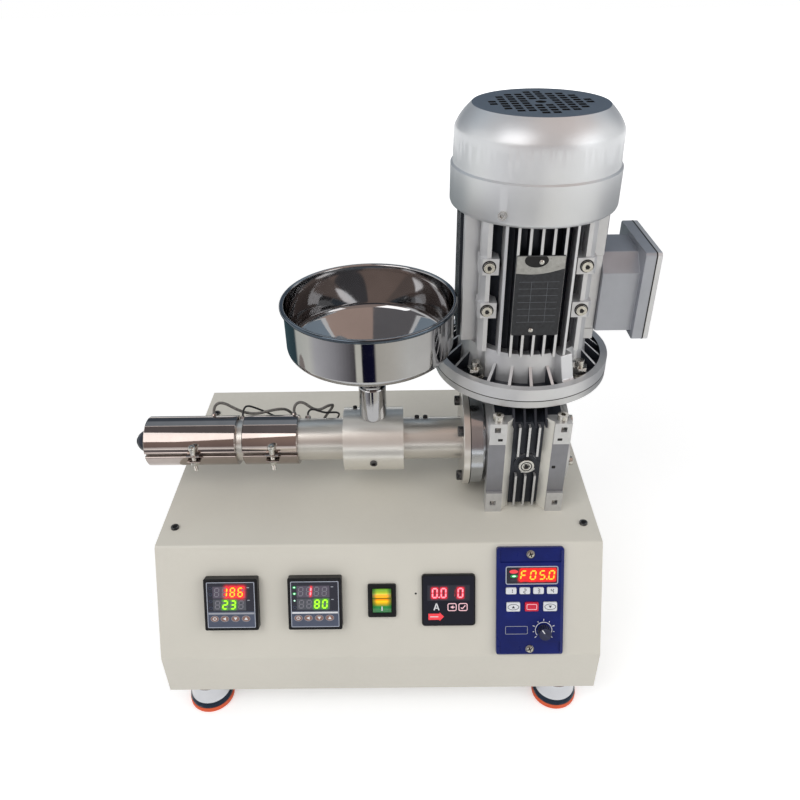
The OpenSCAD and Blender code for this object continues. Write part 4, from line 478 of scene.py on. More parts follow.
# %% Draw turned and cut shapes
def add_turned(mesh, profile, place, steps=96, start=0.0, sweep=360.0):
    """Turns a closed outline of (radius, height) points round the frame's Z."""
    whole = sweep >= 360
    rings = []
    for i in range(steps if whole else steps + 1):
        a = math.radians(start + sweep * i / steps)
        across, back = math.cos(a), math.sin(a)
        rings.append([mesh.verts.new(place @ Vector((r * across, r * back, h))) for r, h in profile])
    count = len(profile)
    for i in range(steps):
        near, far = rings[i], rings[(i + 1) % len(rings)]
        for k in range(count):
            j = (k + 1) % count
            if profile[k][0] > 0 or profile[j][0] > 0:
                mesh.faces.new((near[k], far[k], far[j], near[j]))
    if not whole:
        mesh.faces.new(rings[0])
        mesh.faces.new(list(reversed(rings[-1])))


def add_cut(mesh, outline, low, high, place):
    """Pushes an outline of (x, y) points from low to high along the frame's Z."""
    bottom = [mesh.verts.new(place @ Vector((x, y, low))) for x, y in outline]
    top = [mesh.verts.new(place @ Vector((x, y, high))) for x, y in outline]
    mesh.faces.new(list(reversed(bottom)))
    mesh.faces.new(top)
    for i in range(len(outline)):
        j = (i + 1) % len(outline)
        mesh.faces.new((bottom[i], bottom[j], top[j], top[i]))


def body_of(node):
    return frame["nodes"][node]["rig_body"]


def slot_of(node):
    return frame["nodes"][node].data.materials[0].name.split(".")[0]


def settle(mesh, sharp):
    """Joins points, turns all faces outward and marks edges sharper than so many degrees."""
    bmesh.ops.remove_doubles(mesh, verts=mesh.verts, dist=1e-6)
    bmesh.ops.recalc_face_normals(mesh, faces=mesh.faces)
    for face in mesh.faces:
        face.smooth = True
    for edge in mesh.edges:
        edge.smooth = len(edge.link_faces) != 2 or edge.calc_face_angle(0) < math.radians(sharp)


def make_piece(name, mesh, finish, body="machine", round_by=0.0, sharp=32, stands_for=(),
               steps=2):
    """One object from the mesh; it rides on a body and may stand for nodes of the CAD model."""
    settle(mesh, sharp)
    data = bpy.data.meshes.new(name)
    mesh.to_mesh(data)
    mesh.free()
    data.materials.append(finish)
    piece = bpy.data.objects.new(name, data)
    bpy.context.scene.collection.objects.link(piece)
    if round_by:
        rounding = piece.modifiers.new("rounding", "BEVEL")
        rounding.width, rounding.segments, rounding.limit_method = round_by / 1000, steps, "ANGLE"
        rounding.angle_limit, rounding.use_clamp_overlap = math.radians(sharp), True
        rounding.harden_normals = True
    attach(piece, body)
    if stands_for:
        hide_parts(*stands_for)
    return piece


print("shapes are drawn by add_turned and add_cut")

# %% Outlines that come up often
def around(r, degrees, x=0.0, y=0.0):
    """The point at radius r round x, y."""
    a = math.radians(degrees)
    return x + r * math.cos(a), y + r * math.sin(a)


def oblong(w, h, r=0.0, x=0.0, y=0.0):
    """A rectangle round x, y, with corners of radius r."""
    if r <= 0:
        return [(x + i * w / 2, y + j * h / 2) for i, j in ((-1, -1), (1, -1), (1, 1), (-1, 1))]
    corners = ((w / 2 - r, h / 2 - r, 0), (r - w / 2, h / 2 - r, 90), (r - w / 2, r - h / 2, 180),
               (w / 2 - r, r - h / 2, 270))
    return [around(r, a + 18 * k, x + cx, y + cy) for cx, cy, a in corners for k in range(6)]


def hexagon(r):
    return [around(r, 60 * i) for i in range(6)]


def disc(r, x=0.0, y=0.0, steps=24):
    return [(x + r * math.cos(2 * math.pi * i / steps), y + r * math.sin(2 * math.pi * i / steps))
            for i in range(steps)]


def stroke(x1, y1, x2, y2, w):
    """A straight bar of width w."""
    run = Vector((x2 - x1, y2 - y1)).normalized() * w / 2
    side = Vector((-run.y, run.x))
    return [(x1 - side.x, y1 - side.y), (x2 - side.x, y2 - side.y), (x2 + side.x, y2 + side.y),
            (x1 + side.x, y1 + side.y)]


def bow(r, w, start, end, x=0.0, y=0.0, steps=40):
    """A stroke of even width along an arc, as one outline."""
    turns = [start + (end - start) * i / steps for i in range(steps + 1)]
    outer = [around(r + w / 2, a, x, y) for a in turns]
    return outer + [around(r - w / 2, a, x, y) for a in reversed(turns)]


def oval(w, h, x=0.0, y=0.0):
    return [(x + px * w / 2, y + py * h / 2) for px, py in disc(1.0, steps=28)]


def border(w, h, r, line, x=0.0, y=0.0):
    """A closed rounded line, as its outer and its inner outline."""
    return oblong(w, h, r, x, y), oblong(w - 2 * line, h - 2 * line, max(r - line, 0.05), x, y)


def add_ring(mesh, outer, inner, low, high, place):
    """The flat ring between two outlines that have the same number of points."""
    rows = [[mesh.verts.new(place @ Vector((x, y, z))) for x, y in outline]
            for outline, z in ((outer, low), (outer, high), (inner, high), (inner, low))]
    for near, far in zip(rows, rows[1:] + rows[:1]):
        for i in range(len(outer)):
            j = (i + 1) % len(outer)
            mesh.faces.new((near[i], near[j], far[j], far[i]))


def print_marks(name, outlines, place, finish, low, high, body="machine", rings=()):
    """Thin marks that reach from low to high millimetres out of the frame they are drawn in."""
    mesh = bmesh.new()
    for outline in outlines:
        add_cut(mesh, outline, low, high, place)
    for outer, inner in rings:
        add_ring(mesh, outer, inner, low, high, place)
    return make_piece(name, mesh, finish, body)


print("a square of 10 mm has corners", oblong(10, 10))

# %% [markdown]
# ## Give every CAD node its finish
# The solids keep their shapes. Each one takes the finish of the material slot that it was given
# in the record, in the material slots of its object.

# %% Dress the nodes
for name, solid in frame["nodes"].items():
    slot = slot_of(name)
    for holder in solid.material_slots:
        holder.material = FINISH[slot]
    solid["finish_slot"] = slot
print("dressed", len(frame["nodes"]), "nodes")

# %% [markdown]
# ## Softened edges
# No real edge is razor sharp: sheet steel bends on a radius, castings and mouldings have small
# rounds that catch a line of light. A piece copies a node's faces, joins the flat ones and
# rounds the edges with a bevel. The node itself stays as it is and is only hidden.

# %% Round the edges of a copy
def plain_copy(node):
    """A node's faces with their points joined, and flat neighbours as one face."""
    mesh = bmesh.new()
    mesh.from_mesh(frame["nodes"][node].data)
    bmesh.ops.remove_doubles(mesh, verts=mesh.verts, dist=2e-6)
    bmesh.ops.dissolve_limit(mesh, angle_limit=math.radians(0.6), verts=mesh.verts, edges=mesh.edges)
    return mesh


def soften(node, round_by):
    slot = frame["nodes"][node]["finish_slot"]
    return make_piece(node + "_soft", plain_copy(node), FINISH[slot], body_of(node), round_by,
                      stands_for=(node,))


ROUNDS = {    # millimetres
    "side_panels": 0.3, "temperature_controllers": 0.5, "ammeter": 0.6, "switch_frame": 0.5,
    "switch_rocker": 0.4, "drive_panel": 0.35, "gear_housing": 0.5, "gear_cover": 0.4,
    "input_flange": 0.5, "motor_flange": 0.5, "motor_frame": 0.35, "terminal_box": 0.6,
    "terminal_lid": 0.8, "barrel_adapter": 0.4, "feed_collar": 0.5, "fan_cowl": 0.12,
    "key_1": 0.35, "key_2": 0.35, "key_3": 0.35, "key_4": 0.35, "key_up": 0.35, "key_stop": 0.35,
    "key_down": 0.35, "oil_plug": 0.4, "gearbox_bolts": 0.3, "motor_screws": 0.3,
    "flange_bolts": 0.35, "speed_knob": 0.25, "foot_cups": 0.2,
}
softened = {node: soften(node, r) for node, r in ROUNDS.items()}
print("softened", len(softened), "nodes")

# %% [markdown]
# The gaps between cooling fins are deep and narrow, so they lie in shade and look nearly black
# next to the bright fin tips. The dish of the motor's flange and the gaps of the gearbox are the
# same. Faces down in such gaps take a second, darker finish, which is painted shade. Painted
# shade also lies on the middles of the gearbox's two columns and on the top disc and grille
# holes of the fan cowl. The rims of the feet take a painted dark reflection and the slopes of
# the columns a painted highlight. The whole terminal box takes a darker grey paint. Each face is
# picked by where its middle is and how it faces.

# %% Pick faces for painted shade, painted highlight and a second finish
FIN_ROOT, FIN_MOUTH = 56, 62                 # radii of the fin gaps round the motor
RIB_RANGE, RIM_RANGE = (52, 73), (70, 77)    # radii in the dish of the motor's flange
COLUMN_Y = AXIS_Y - 47                       # the front of the gearbox's columns
CUP_RIM_Z = 10.8
COWL_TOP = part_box("fan_cowl")[1][2] * 1000
GRILLE_R = 45


def repaint(piece, finish, is_chosen):
    """Gives a finish to each face whose middle, in machine millimetres, and normal are chosen."""
    piece.data.materials.append(finish)
    chosen = 0
    for face in piece.data.polygons:
        if is_chosen(face.center * 1000 + MIDDLE, face.normal):
            face.material_index = len(piece.data.materials) - 1
            chosen += 1
    print(piece.name, "has", chosen, "faces in", finish.name)


def from_motor(at):
    """The level way from the motor's axis to a place."""
    return Vector((at.x - GEAR_X, at.y - WORM_Y, 0))


def is_side(out, normal):
    """A face that looks along the round of the motor, as the sides of fins and ribs do."""
    return abs(out.normalized().dot(normal)) < 0.4


def in_fin_gap(at, normal):
    out = from_motor(at)
    fin_side = out.length < FIN_MOUTH and is_side(out, normal)
    return abs(normal.z) < 0.5 and (out.length < FIN_ROOT or fin_side)


def in_flange_dish(at, normal):
    out, z = from_motor(at), at.z - JOINT_Z
    floor = normal.z > 0.9 and 4 < z < 8
    rib = RIB_RANGE[0] < out.length < RIB_RANGE[1] and 5 < z < 26
    rib_side = rib and abs(normal.z) < 0.3 and is_side(out, normal)
    rim = RIM_RANGE[0] < out.length < RIM_RANGE[1] and 5 < z < 11.3
    return floor or rib_side or (rim and out.normalized().dot(normal) < -0.5)


def in_gear_gap(at, normal):
    """The back wall, the fin sides and the roof of the gearbox, measured from its middle."""
    x, y, z = at.x - GEAR_X, at.y - AXIS_Y, at.z - AXIS_Z
    wall = normal.y < -0.5 and -42 < y < -38 and abs(x) < 30
    fin_side = abs(normal.x) > 0.9 and -46.5 < y < -39.5 and abs(x) < 28 and abs(z) < 48
    roof = z > 44 and normal.y > -0.5 and y > -39.5
    return wall or fin_side or roof


def on_column_middle(at, normal):
    return normal.y < -0.9 and abs(at.y - COLUMN_Y) < 0.6 and 20 < abs(at.x - GEAR_X) < 36


def on_column_slope(at, normal):
    return normal.y < -0.3 and abs(normal.x) > 0.4 and -0.5 < at.y - COLUMN_Y < 7.5


def on_foot_rim(at, normal):
    return at.z < CUP_RIM_Z and normal.z < 0.9


def everywhere(at, normal):
    return True


def on_cowl_top(at, normal):
    return normal.z > 0.95 and at.z > COWL_TOP - 3


def in_grille_hole(at, normal):
    return abs(normal.z) < 0.4 and at.z > COWL_TOP - 1.4 and from_motor(at).length < GRILLE_R + 1


painted_gap_shade = make_finish("painted_gap_shade", "2C3038", (0.36, 0.5), 0.4, drift=0.2, patch=8, grain=0.02,
                        grain_size=0.5)
painted_column_shade = make_finish("painted_column_shade", "85868B", (0.3, 0.42), 0.6, drift=0.05, patch=12, grain=0.03,
                           grain_size=0.5)
painted_strip_highlight = make_finish("painted_strip_highlight", "E6E4DC", (0.3, 0.42), 0.3, drift=0.03, patch=12, grain=0.03,
                          grain_size=0.5)
painted_disc_shade = make_finish("painted_disc_shade", "76818E", (0.32, 0.42), 0.6, drift=0.05, patch=12, grain=0.06,
                         grain_size=0.9, pebbles=0.15)
painted_rim_reflection = make_finish("painted_rim_reflection", "28303C", (0.1, 0.2), 1.0, drift=0.1, patch=20, grain=0.004)
box_paint = make_finish("box_paint", "A4A7AE", (0.32, 0.42), 0.5, drift=0.04, patch=16, grain=0.03,
                        grain_size=0.6)
painted_hole_shade = make_finish("painted_hole_shade", "08080A", (0.6, 0.8), drift=0.2, patch=4)
# painted shade in the fin gaps, the flange's dish and the gearbox's gaps
repaint(softened["motor_frame"], painted_gap_shade, in_fin_gap)
repaint(softened["motor_flange"], painted_gap_shade, in_flange_dish)
repaint(softened["gear_housing"], painted_gap_shade, in_gear_gap)
# painted shade on the recessed middles of the columns, a painted highlight on their slopes
repaint(softened["gear_housing"], painted_column_shade, on_column_middle)
repaint(softened["gear_housing"], painted_strip_highlight, on_column_slope)
# a painted dark reflection on the lower rims of the foot cups
repaint(softened["foot_cups"], painted_rim_reflection, on_foot_rim)
repaint(softened["terminal_box"], box_paint, everywhere)
# painted shade on the top face of the fan cowl
repaint(softened["fan_cowl"], painted_disc_shade, on_cowl_top)
# painted shade on the walls of the grille holes; the disc below is painted shade inside the cowl
repaint(softened["fan_cowl"], painted_hole_shade, in_grille_hole)

# %% Painted shade behind the grille, in screw seats and in holes, and dark joint lines
mesh = bmesh.new()
add_cut(mesh, disc(GRILLE_R, steps=64), -2.3, -1.9, on_motor(COWL_TOP))
make_piece("grille_shade", mesh, painted_hole_shade)
mesh = bmesh.new()
face_front = turned_by(90, "X")
for z in (361.03, 400.04):    # painted shade in a seat round each screw of the motor and in its socket
    for side in (-39.5, 39.5):
        place = stand(GEAR_X + side, WORM_Y - 51.5, z, face_front)
        add_ring(mesh, disc(5.7), disc(4.6), -0.05, 0.12, place)
        add_cut(mesh, hexagon(1.7), 2.5, 2.72, place)
# painted shade round and in the oil plug, in a square hole of a column and in two pad notches
place = stand(GEAR_X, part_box("oil_plug")[0][1] * 1000 + MIDDLE.y, AXIS_Z, face_front)
add_ring(mesh, disc(5.2), disc(4.3), -0.05, 0.08, place)
add_cut(mesh, disc(1.9), -0.05, 0.1, place)
place = stand(GEAR_X + 24.2, COLUMN_Y, AXIS_Z, face_front)
add_cut(mesh, oblong(3.4, 3.2, 0.8), -0.05, 0.12, place)
for side in (-1, 1):
    place = stand(GEAR_X + side * 26, COLUMN_Y - 3, AXIS_Z + 33, face_front)
    add_cut(mesh, oblong(4.2, 2.6, 0.6), -0.05, 0.12, place)
make_piece("seat_and_hole_shade", mesh, PRINT["dark_joint_and_shade"])
mesh = bmesh.new()
add_turned(mesh, [(78.5, -0.45), (80.08, -0.45), (80.08, 0.35), (78.5, 0.35)], on_motor(JOINT_Z), 160)
add_turned(mesh, [(43, -0.4), (44.08, -0.4), (44.08, 0.4), (43, 0.4)], on_screw(FLANGE_X), 96)
make_piece("joint_lines", mesh, PRINT["dark_joint_and_shade"])
lid_low, lid_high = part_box("terminal_lid")
lid_w, lid_h = (lid_high[1] - lid_low[1]) * 1000, (lid_high[2] - lid_low[2]) * 1000
LID_JOINT_X = GEAR_X + 99.2
lid_place = stand(LID_JOINT_X, WORM_Y, (lid_high[2] + lid_low[2]) * 500, turned_by(90, "Y"))
print_marks("lid_gasket", [], lid_place, FINISH["seal_rubber"], -0.6, 0.5,
            rings=[border(lid_h + 0.3, lid_w + 0.3, 3.1, 3)])
print("joint lines laid")

# %% [markdown]
# ## The cabinet's bent sheet
# The front and the top are one sheet with two bends. A press brake rounds the outside of each
# bend, which makes the soft line of light at the knee and at the crease. The bends are the only
# edges that run over the cabinet's whole width and turn by a middling angle.

# %% Bend the front sheet on a radius
WIDE = 0.35           # metres
BEND_REACH = 0.0016   # metres from the sharp edge to where its round begins
mesh = plain_copy("cabinet_shell")
bends = [edge for edge in mesh.edges
         if abs(edge.verts[0].co.x - edge.verts[1].co.x) > WIDE and len(edge.link_faces) == 2
         and 0.2 < edge.calc_face_angle(0) < 1.3]
bmesh.ops.bevel(mesh, geom=bends, offset=BEND_REACH, offset_type="OFFSET", segments=5, profile=0.5,
                affect="EDGES")
cabinet = make_piece("cabinet_sheet", mesh, FINISH["cabinet_paint"], round_by=0.25,
                     stands_for=("cabinet_shell",))
print("bends rounded:", len(bends))

# %% Painted shade inside the pinhole and the lead hole
pinhole = print_marks("pinhole_shade", [disc(1.0)], on_slope(33.0, 59.7), PRINT["dark_joint_and_shade"], -1.4, -0.5)
mesh = bmesh.new()
add_cut(mesh, disc(5.6), -1.0, 0.6, stand(-62, AXIS_Y + 52.5, TOP_Z))
lead_hole = make_piece("lead_hole_shade", mesh, PRINT["dark_joint_and_shade"])
print("dark discs:", pinhole.name, lead_hole.name)

# %% [markdown]
# ## The temperature controllers
# Each one has a grey film face under its window. The window shows two rows of four digits made
# of seven bars: the unlit bars stay visible as grey. Every mark is a thin piece of its own, so
# it catches light and casts a small shadow as real print on film does.

# %% Draw seven-bar digits
BARS = {"0": "abcdef", "1": "bc", "2": "abged", "3": "abgcd", "4": "fgbc", "5": "afgcd", "6": "afgedc",
        "7": "abc", "8": "abcdefg", "9": "abcdfg", "F": "aefg", " ": ""}


def bar_ends(w, h):
    """The two ends of each bar, from the top one clockwise; g is the one in the middle."""
    side, top = w / 2, h / 2
    return {"a": (-side, top, side, top), "b": (side, top, side, 0), "c": (side, 0, side, -top),
            "d": (-side, -top, side, -top), "e": (-side, 0, -side, -top),
            "f": (-side, top, -side, 0), "g": (-side, 0, side, 0)}


def digit_bars(letters, x, y, w, h, t, lean=0.1):
    """Outlines of the named bars of one digit, centred on x, y."""
    found = []
    for letter in letters:
        ends = bar_ends(w, h)[letter]
        a, b = Vector(ends[:2]), Vector(ends[2:])
        along = (b - a).normalized()
        side = Vector((-along.y, along.x)) * t / 2
        trim = along * t * 0.22    # leaves a slit between neighbouring bars
        a, b = a + trim, b - trim
        points = [a, a + along * t / 2 - side, b - along * t / 2 - side, b, b - along * t / 2 + side,
                  a + along * t / 2 + side]
        found.append([(x + p.x + lean * p.y, y + p.y) for p in points])
    return found


print("an eight has", len(digit_bars(BARS["8"], 0, 0, 4, 8, 1)), "bars")

# %% [markdown]
# Light from a lit bar spreads in the clear resin round it, so a soft haze lies about every digit.
# The haze is a fine sheet behind the bars: each of its points keeps a colour that falls off with
# the distance from the nearest lit bar, and the material takes that colour and glows with it.

# %% Haze round lit bars
HAZE_STEP = 0.45         # millimetres from one point of the haze to the next
DARK_GLASS = "070918"    # its colour far from any lit bar
haze_finish = make_finish("lit_haze", "101018", (0.1, 0.2), drift=0.05, patch=8, grain=0.002, glow=1.0)
tree, shader = haze_finish.node_tree, haze_finish.node_tree.nodes["Principled BSDF"]
kept_colour = add_node(tree, "Attribute", {"attribute_name": "haze"}).outputs["Color"]
join(tree, (kept_colour, shader.inputs["Base Color"]), (kept_colour, shader.inputs["Emission Color"]))


def lit_lines(letters, x, y, w, h, lean=0.1):
    """The middle line of each lit bar."""
    lines = [bar_ends(w, h)[letter] for letter in letters]
    return [(Vector((x + a + lean * b, y + b)), Vector((x + c + lean * d, y + d))) for a, b, c, d in lines]


def gap_to(point, line):
    """How far a point is from the nearest place on a line."""
    run = line[1] - line[0]
    share = max(0.0, min(1.0, (point - line[0]).dot(run) / run.length_squared))
    return (point - line[0] - run * share).length


def lay_haze(name, size, centre, place, out, resin, lights):
    """Resin is the dark blocks that hold the bars; lights are (lines, colour, reach)."""
    mesh = bmesh.new()
    kept = mesh.verts.layers.float_color.new("haze")
    columns, rows = round(size[0] / HAZE_STEP), round(size[1] / HAZE_STEP)
    grid = []
    for j in range(rows + 1):
        for i in range(columns + 1):
            at = Vector((centre[0] + size[0] * (i / columns - 0.5), centre[1] + size[1] * (j / rows - 0.5)))
            colour = Vector(linear(DARK_GLASS)[:3])
            for x, y, w, h, code in resin:
                if abs(at.x - x) < w / 2 and abs(at.y - y) < h / 2:
                    colour = Vector(linear(code)[:3])
            for lines, code, reach in lights:
                near = max((math.exp(-(gap_to(at, line) / reach) ** 2) for line in lines), default=0.0)
                colour = colour.lerp(Vector(linear(code)[:3]), near)
            vert = mesh.verts.new(place @ Vector((at.x, at.y, out)))
            vert[kept] = (*colour, 1.0)
            grid.append(vert)
    for j in range(rows):
        for i in range(columns):
            k = j * (columns + 1) + i
            mesh.faces.new((grid[k], grid[k + 1], grid[k + columns + 2], grid[k + columns + 1]))
    make_piece(name, mesh, haze_finish)


print("haze falls to a third at its reach:", round(math.exp(-1), 2))

# %% Faces and digits of the controllers
upper_x, lower_x = (-12.3, -5.3, 1.7, 8.7), (-12.0, -5.2, 1.9, 8.9)
UPPER_Y, LOWER_Y = 11.6, -0.1
KEY_X, KEY_Y = (-15.0, -6.0, 3.6, 13.0), -13.0
LAMP_X, LAMP_Y = -18.0, (15.4, 9.6, 3.2, -3.0)
for side, x, upper, lower, rule_print in (("left", CONTROLLER_X[0], " 186", " 23 ", "grey_print"),
                                          ("right", CONTROLLER_X[1], " 1  ", "  80", "pale_print")):
    face = on_slope(x, ROW_S)
    print_marks(f"{side}_face_film", [oblong(42.4, 15.1, 0.4, 0, -13.9)], face, PRINT["grey_film"],
                7.95, 8.12)
    print_marks(f"{side}_face_line", [], face, PRINT["frame_print"], 8.0, 8.2,
                rings=[border(42.8, 42.4, 0.8, 0.6, 0, -0.3)])
    print_marks(f"{side}_face_rule", [oblong(40.8, 1.5, 0, 0, -8.1)], face, PRINT[rule_print],
                8.0, 8.22)
    print_marks(f"{side}_key_film", [oval(7.2, 5.4, kx, KEY_Y) for kx in KEY_X], face,
                PRINT["brown_film"], 8.1, 8.24)
    signs = [[(-7.8, -13.0), (-5.0, -14.6), (-5.0, -11.4)],
             [(3.6, -14.6), (5.2, -11.8), (2.0, -11.8)], [(13.0, -11.4), (11.4, -14.2), (14.6, -14.2)]]
    print_marks(f"{side}_key_signs", signs, face, PRINT["pale_print"], 8.2, 8.3,
                rings=[(oval(3.6, 3.0, KEY_X[0], KEY_Y), oval(2.4, 1.8, KEY_X[0], KEY_Y))])
    print_marks(f"{side}_key_rims", [], face, PRINT["grey_print"], 8.2, 8.28,
                rings=[(oval(7.6, 5.8, kx, KEY_Y), oval(7.0, 5.2, kx, KEY_Y)) for kx in KEY_X])
    lit, unlit, lines = {"upper": [], "lower": []}, [], {"upper": [], "lower": []}
    for row, text, places, y, h in (("upper", upper, upper_x, UPPER_Y, 7.8),
                                    ("lower", lower, lower_x, LOWER_Y, 7.2)):
        for letter, dx in zip(text, places):
            lit[row] += digit_bars(BARS[letter], dx, y, 3.7, h, 1.2)
            unlit += digit_bars([b for b in BARS["8"] if b not in BARS[letter]], dx, y, 3.7, h, 0.95)
            lines[row] += lit_lines(BARS[letter], dx, y, 3.7, h)
    resin = [(-1.4, UPPER_Y, 29.4, 10.8, "3A3440"), (-1.2, LOWER_Y, 29.4, 10.0, "34363C")]
    lay_haze(f"{side}_haze", (41.4, 27.6), (0, 6.0), face, 7.925, resin,
             [(lines["upper"], "E4101C", 2.3 if side == "left" else 1.1), (lines["lower"], "3F8A12", 1.3)])
    print_marks(f"{side}_unlit", unlit, face, PRINT["unlit"], 7.93, 8.02)
    print_marks(f"{side}_lit_upper", lit["upper"], face,
                PRINT["lit_amber" if side == "left" else "lit_pink"], 7.94, 8.06)
    print_marks(f"{side}_lit_lower", lit["lower"], face, PRINT["lit_green"], 7.94, 8.06)
    off = LAMP_Y
    if side == "right":
        on, off = LAMP_Y[:2], LAMP_Y[3:]
        print_marks("right_lamps_on", [oval(3.2, 2.6, LAMP_X, y) for y in on], face,
                    PRINT["lamp_green"], 7.92, 8.02)
        cores = [oval(1.8, 1.2, LAMP_X, y) for y in on] + [oval(1.5, 1.5, LAMP_X, LAMP_Y[2])]
        print_marks("right_lamp_cores", cores, face, PRINT["lamp_core"], 8.0, 8.06)
    print_marks(f"{side}_lamps_off", [], face, PRINT["dim_print"], 7.92, 8.0,
                rings=[(oval(3.2, 2.6, LAMP_X, y), oval(2.24, 1.82, LAMP_X, y)) for y in off])
    units = [oblong(2.2, 0.8, 0, 15.6, 15.8), oblong(2.2, 0.8, 0, 15.8, 4.0)]
    print_marks(f"{side}_unit_marks", units, face, PRINT["grey_print"], 7.92, 8.0)
print("controller digits placed at", upper_x)

# %% [markdown]
# ## The ammeter
# Its whole face is one dark window with red digits, the unit A, two touch keys and a red arrow.

# %% The ammeter's face
face = on_slope(AMMETER_X, ROW_S)
print_marks("ammeter_glass", [oblong(45.4, 45.4, 2.2)], face, FINISH["window"], 2.9, 3.12)
digits, lines = [], []
for letter, dx in (("0", -12.3), ("0", -4.5), ("0", 10.6)):
    digits += digit_bars(BARS[letter], dx, 6.9, 4.0, 8.3, 1.15, 0.02)
    lines += lit_lines(BARS[letter], dx, 6.9, 4.0, 8.3, 0.02)
lay_haze("ammeter_haze", (37.8, 14.4), (0, 6.9), face, 3.14, [], [(lines, "D00A28", 1.25)])
digits.append(disc(0.7, -8.4, 2.9, 14))
print_marks("ammeter_digits", digits, face, PRINT["lit_pink"], 3.16, 3.26)
unlit = digit_bars("bc", 4.0, 6.9, 3.4, 7.0, 0.6)
print_marks("ammeter_unlit", unlit, face, PRINT["red_haze"], 3.15, 3.2)
unit = [stroke(-13.1, -9.2, -10.9, -2.6, 1.1), stroke(-8.7, -9.2, -10.9, -2.6, 1.1),
        stroke(-12.3, -7.2, -9.5, -7.2, 1.0)]
print_marks("ammeter_unit", unit, face, PRINT["pale_print"], 3.1, 3.24)
keys = [[(1.4, -6.4), (4.2, -8.0), (4.2, -4.8)], stroke(4.1, -6.4, 5.4, -6.4, 0.8),
        stroke(10.9, -6.9, 12.2, -8.0, 0.8), stroke(12.2, -8.0, 15.0, -4.9, 0.9)]
print_marks("ammeter_keys", keys, face, PRINT["pink_print_glow"], 3.1, 3.24,
            rings=[border(8.2, 7.4, 1.8, 0.8, 3.1, -6.4), border(8.2, 7.4, 1.8, 0.8, 12.9, -6.4)])
arrow = [[(-18.2, -18.2), (-8.2, -18.2), (-8.2, -12.4), (-18.2, -12.4)],
         [(-8.2, -19.4), (-4.2, -15.3), (-8.2, -11.2)]]
print_marks("ammeter_arrow", arrow, face, PRINT["red_print_and_lamp_glow"], 3.1, 3.22)
slot_line = oblong(7.4, 0.8, 0.3, -13.0, -15.3)
print_marks("ammeter_arrow_slots", [slot_line], face, PRINT["pale_print"], 3.2, 3.28)
print("ammeter shows 0.0 and 0")

# %% [markdown]
# ## The power switch
# The rocker carries one moulded stroke that says which end switches on.

# %% Mark on the rocker
ROCKER_R, ROCKER_HALF = 12, 10.8    # radius of its side and half its height
pivot_depth = math.sqrt(ROCKER_R ** 2 - ROCKER_HALF ** 2)
rocker = on_slope(SWITCH_X, ROW_S, 3 - pivot_depth) @ turned_by(8, "X")
crown = pivot_depth + 0.75
mesh = bmesh.new()
add_cut(mesh, oblong(1.1, 4.2, 0.3, 0, -6.0), crown + 0.5, crown + 1.15, rocker)
make_piece("rocker_stroke", mesh, PRINT["pale_print"], body_of("switch_rocker"))
print("rocker spans", [round(v * 1000, 1) for v in rocker_high - rocker_low], "mm")

# %% [markdown]
# ## The motor speed panel
# A dark blue moulding with a red display, four small keys, up, stop and down, and a speed knob
# with a scale. The keys are pieces of their own, so their printed marks ride on each key.

# %% Display and scale of the speed panel
face = on_slope(DRIVE_X, DRIVE_S)
print_marks("drive_window_frame", [], face, PRINT["frame_print"], 5.9, 6.3,
            rings=[border(46.6, 16.8, 2.0, 0.8, 1.1, 25.2)])
digits, lines = [], []
for letter, dx in (("F", -6.2), ("0", 2.2), ("5", 10.4), ("0", 18.6)):
    digits += digit_bars(BARS[letter], dx, 25.3, 4.3, 7.6, 1.25, 0.14)
    lines += lit_lines(BARS[letter], dx, 25.3, 4.3, 7.6, 0.14)
lay_haze("drive_haze", (44.2, 14.4), (1.1, 25.2), face, 5.9, [(6.9, 25.3, 31.6, 12.4, "B20A10")],
         [(lines, "EE1408", 2.0)])
digits.append(disc(0.65, 14.4, 21.6, 14))
print_marks("drive_digits", digits, face, PRINT["lit_amber"], 5.92, 6.04)
for name, outline, finish, low, high in (
        ("red", oval(7.6, 3.6, -15.0, 28.6), "red_print_and_lamp_glow", 5.92, 6.0),
        ("green", oval(6.6, 3.0, -14.7, 24.4), "lamp_green", 5.92, 6.0),
        ("core", oval(3.4, 1.4, -14.7, 24.4), "lamp_core", 5.98, 6.04),
        ("off", oval(6.2, 2.4, -15.0, 20.6), "module", 5.92, 6.0)):
    print_marks("drive_lamp_" + name, [outline], face, PRINT[finish], low, high)
knob_x, knob_y = 12.1, -26.1    # from the panel's middle
scale = [bow(7.4, 0.6, -40, 220, knob_x, knob_y)]
for i in range(9):    # nine ticks, every second one longer
    turn, reach = -42 + 264 * i / 8, 10.6 if i % 2 == 0 else 9.8
    scale.append(stroke(*around(8.6, turn, knob_x, knob_y), *around(reach, turn, knob_x, knob_y), 0.6))
print_marks("drive_scale", scale, face, PRINT["pale_print"], 5.95, 6.1)
print_marks("drive_bare_field", [], face, PRINT["grey_print"], 5.95, 6.08,
            rings=[border(20, 7.6, 1.0, 0.4, -12.2, -26.0)])
print("speed panel shows F 05.0")

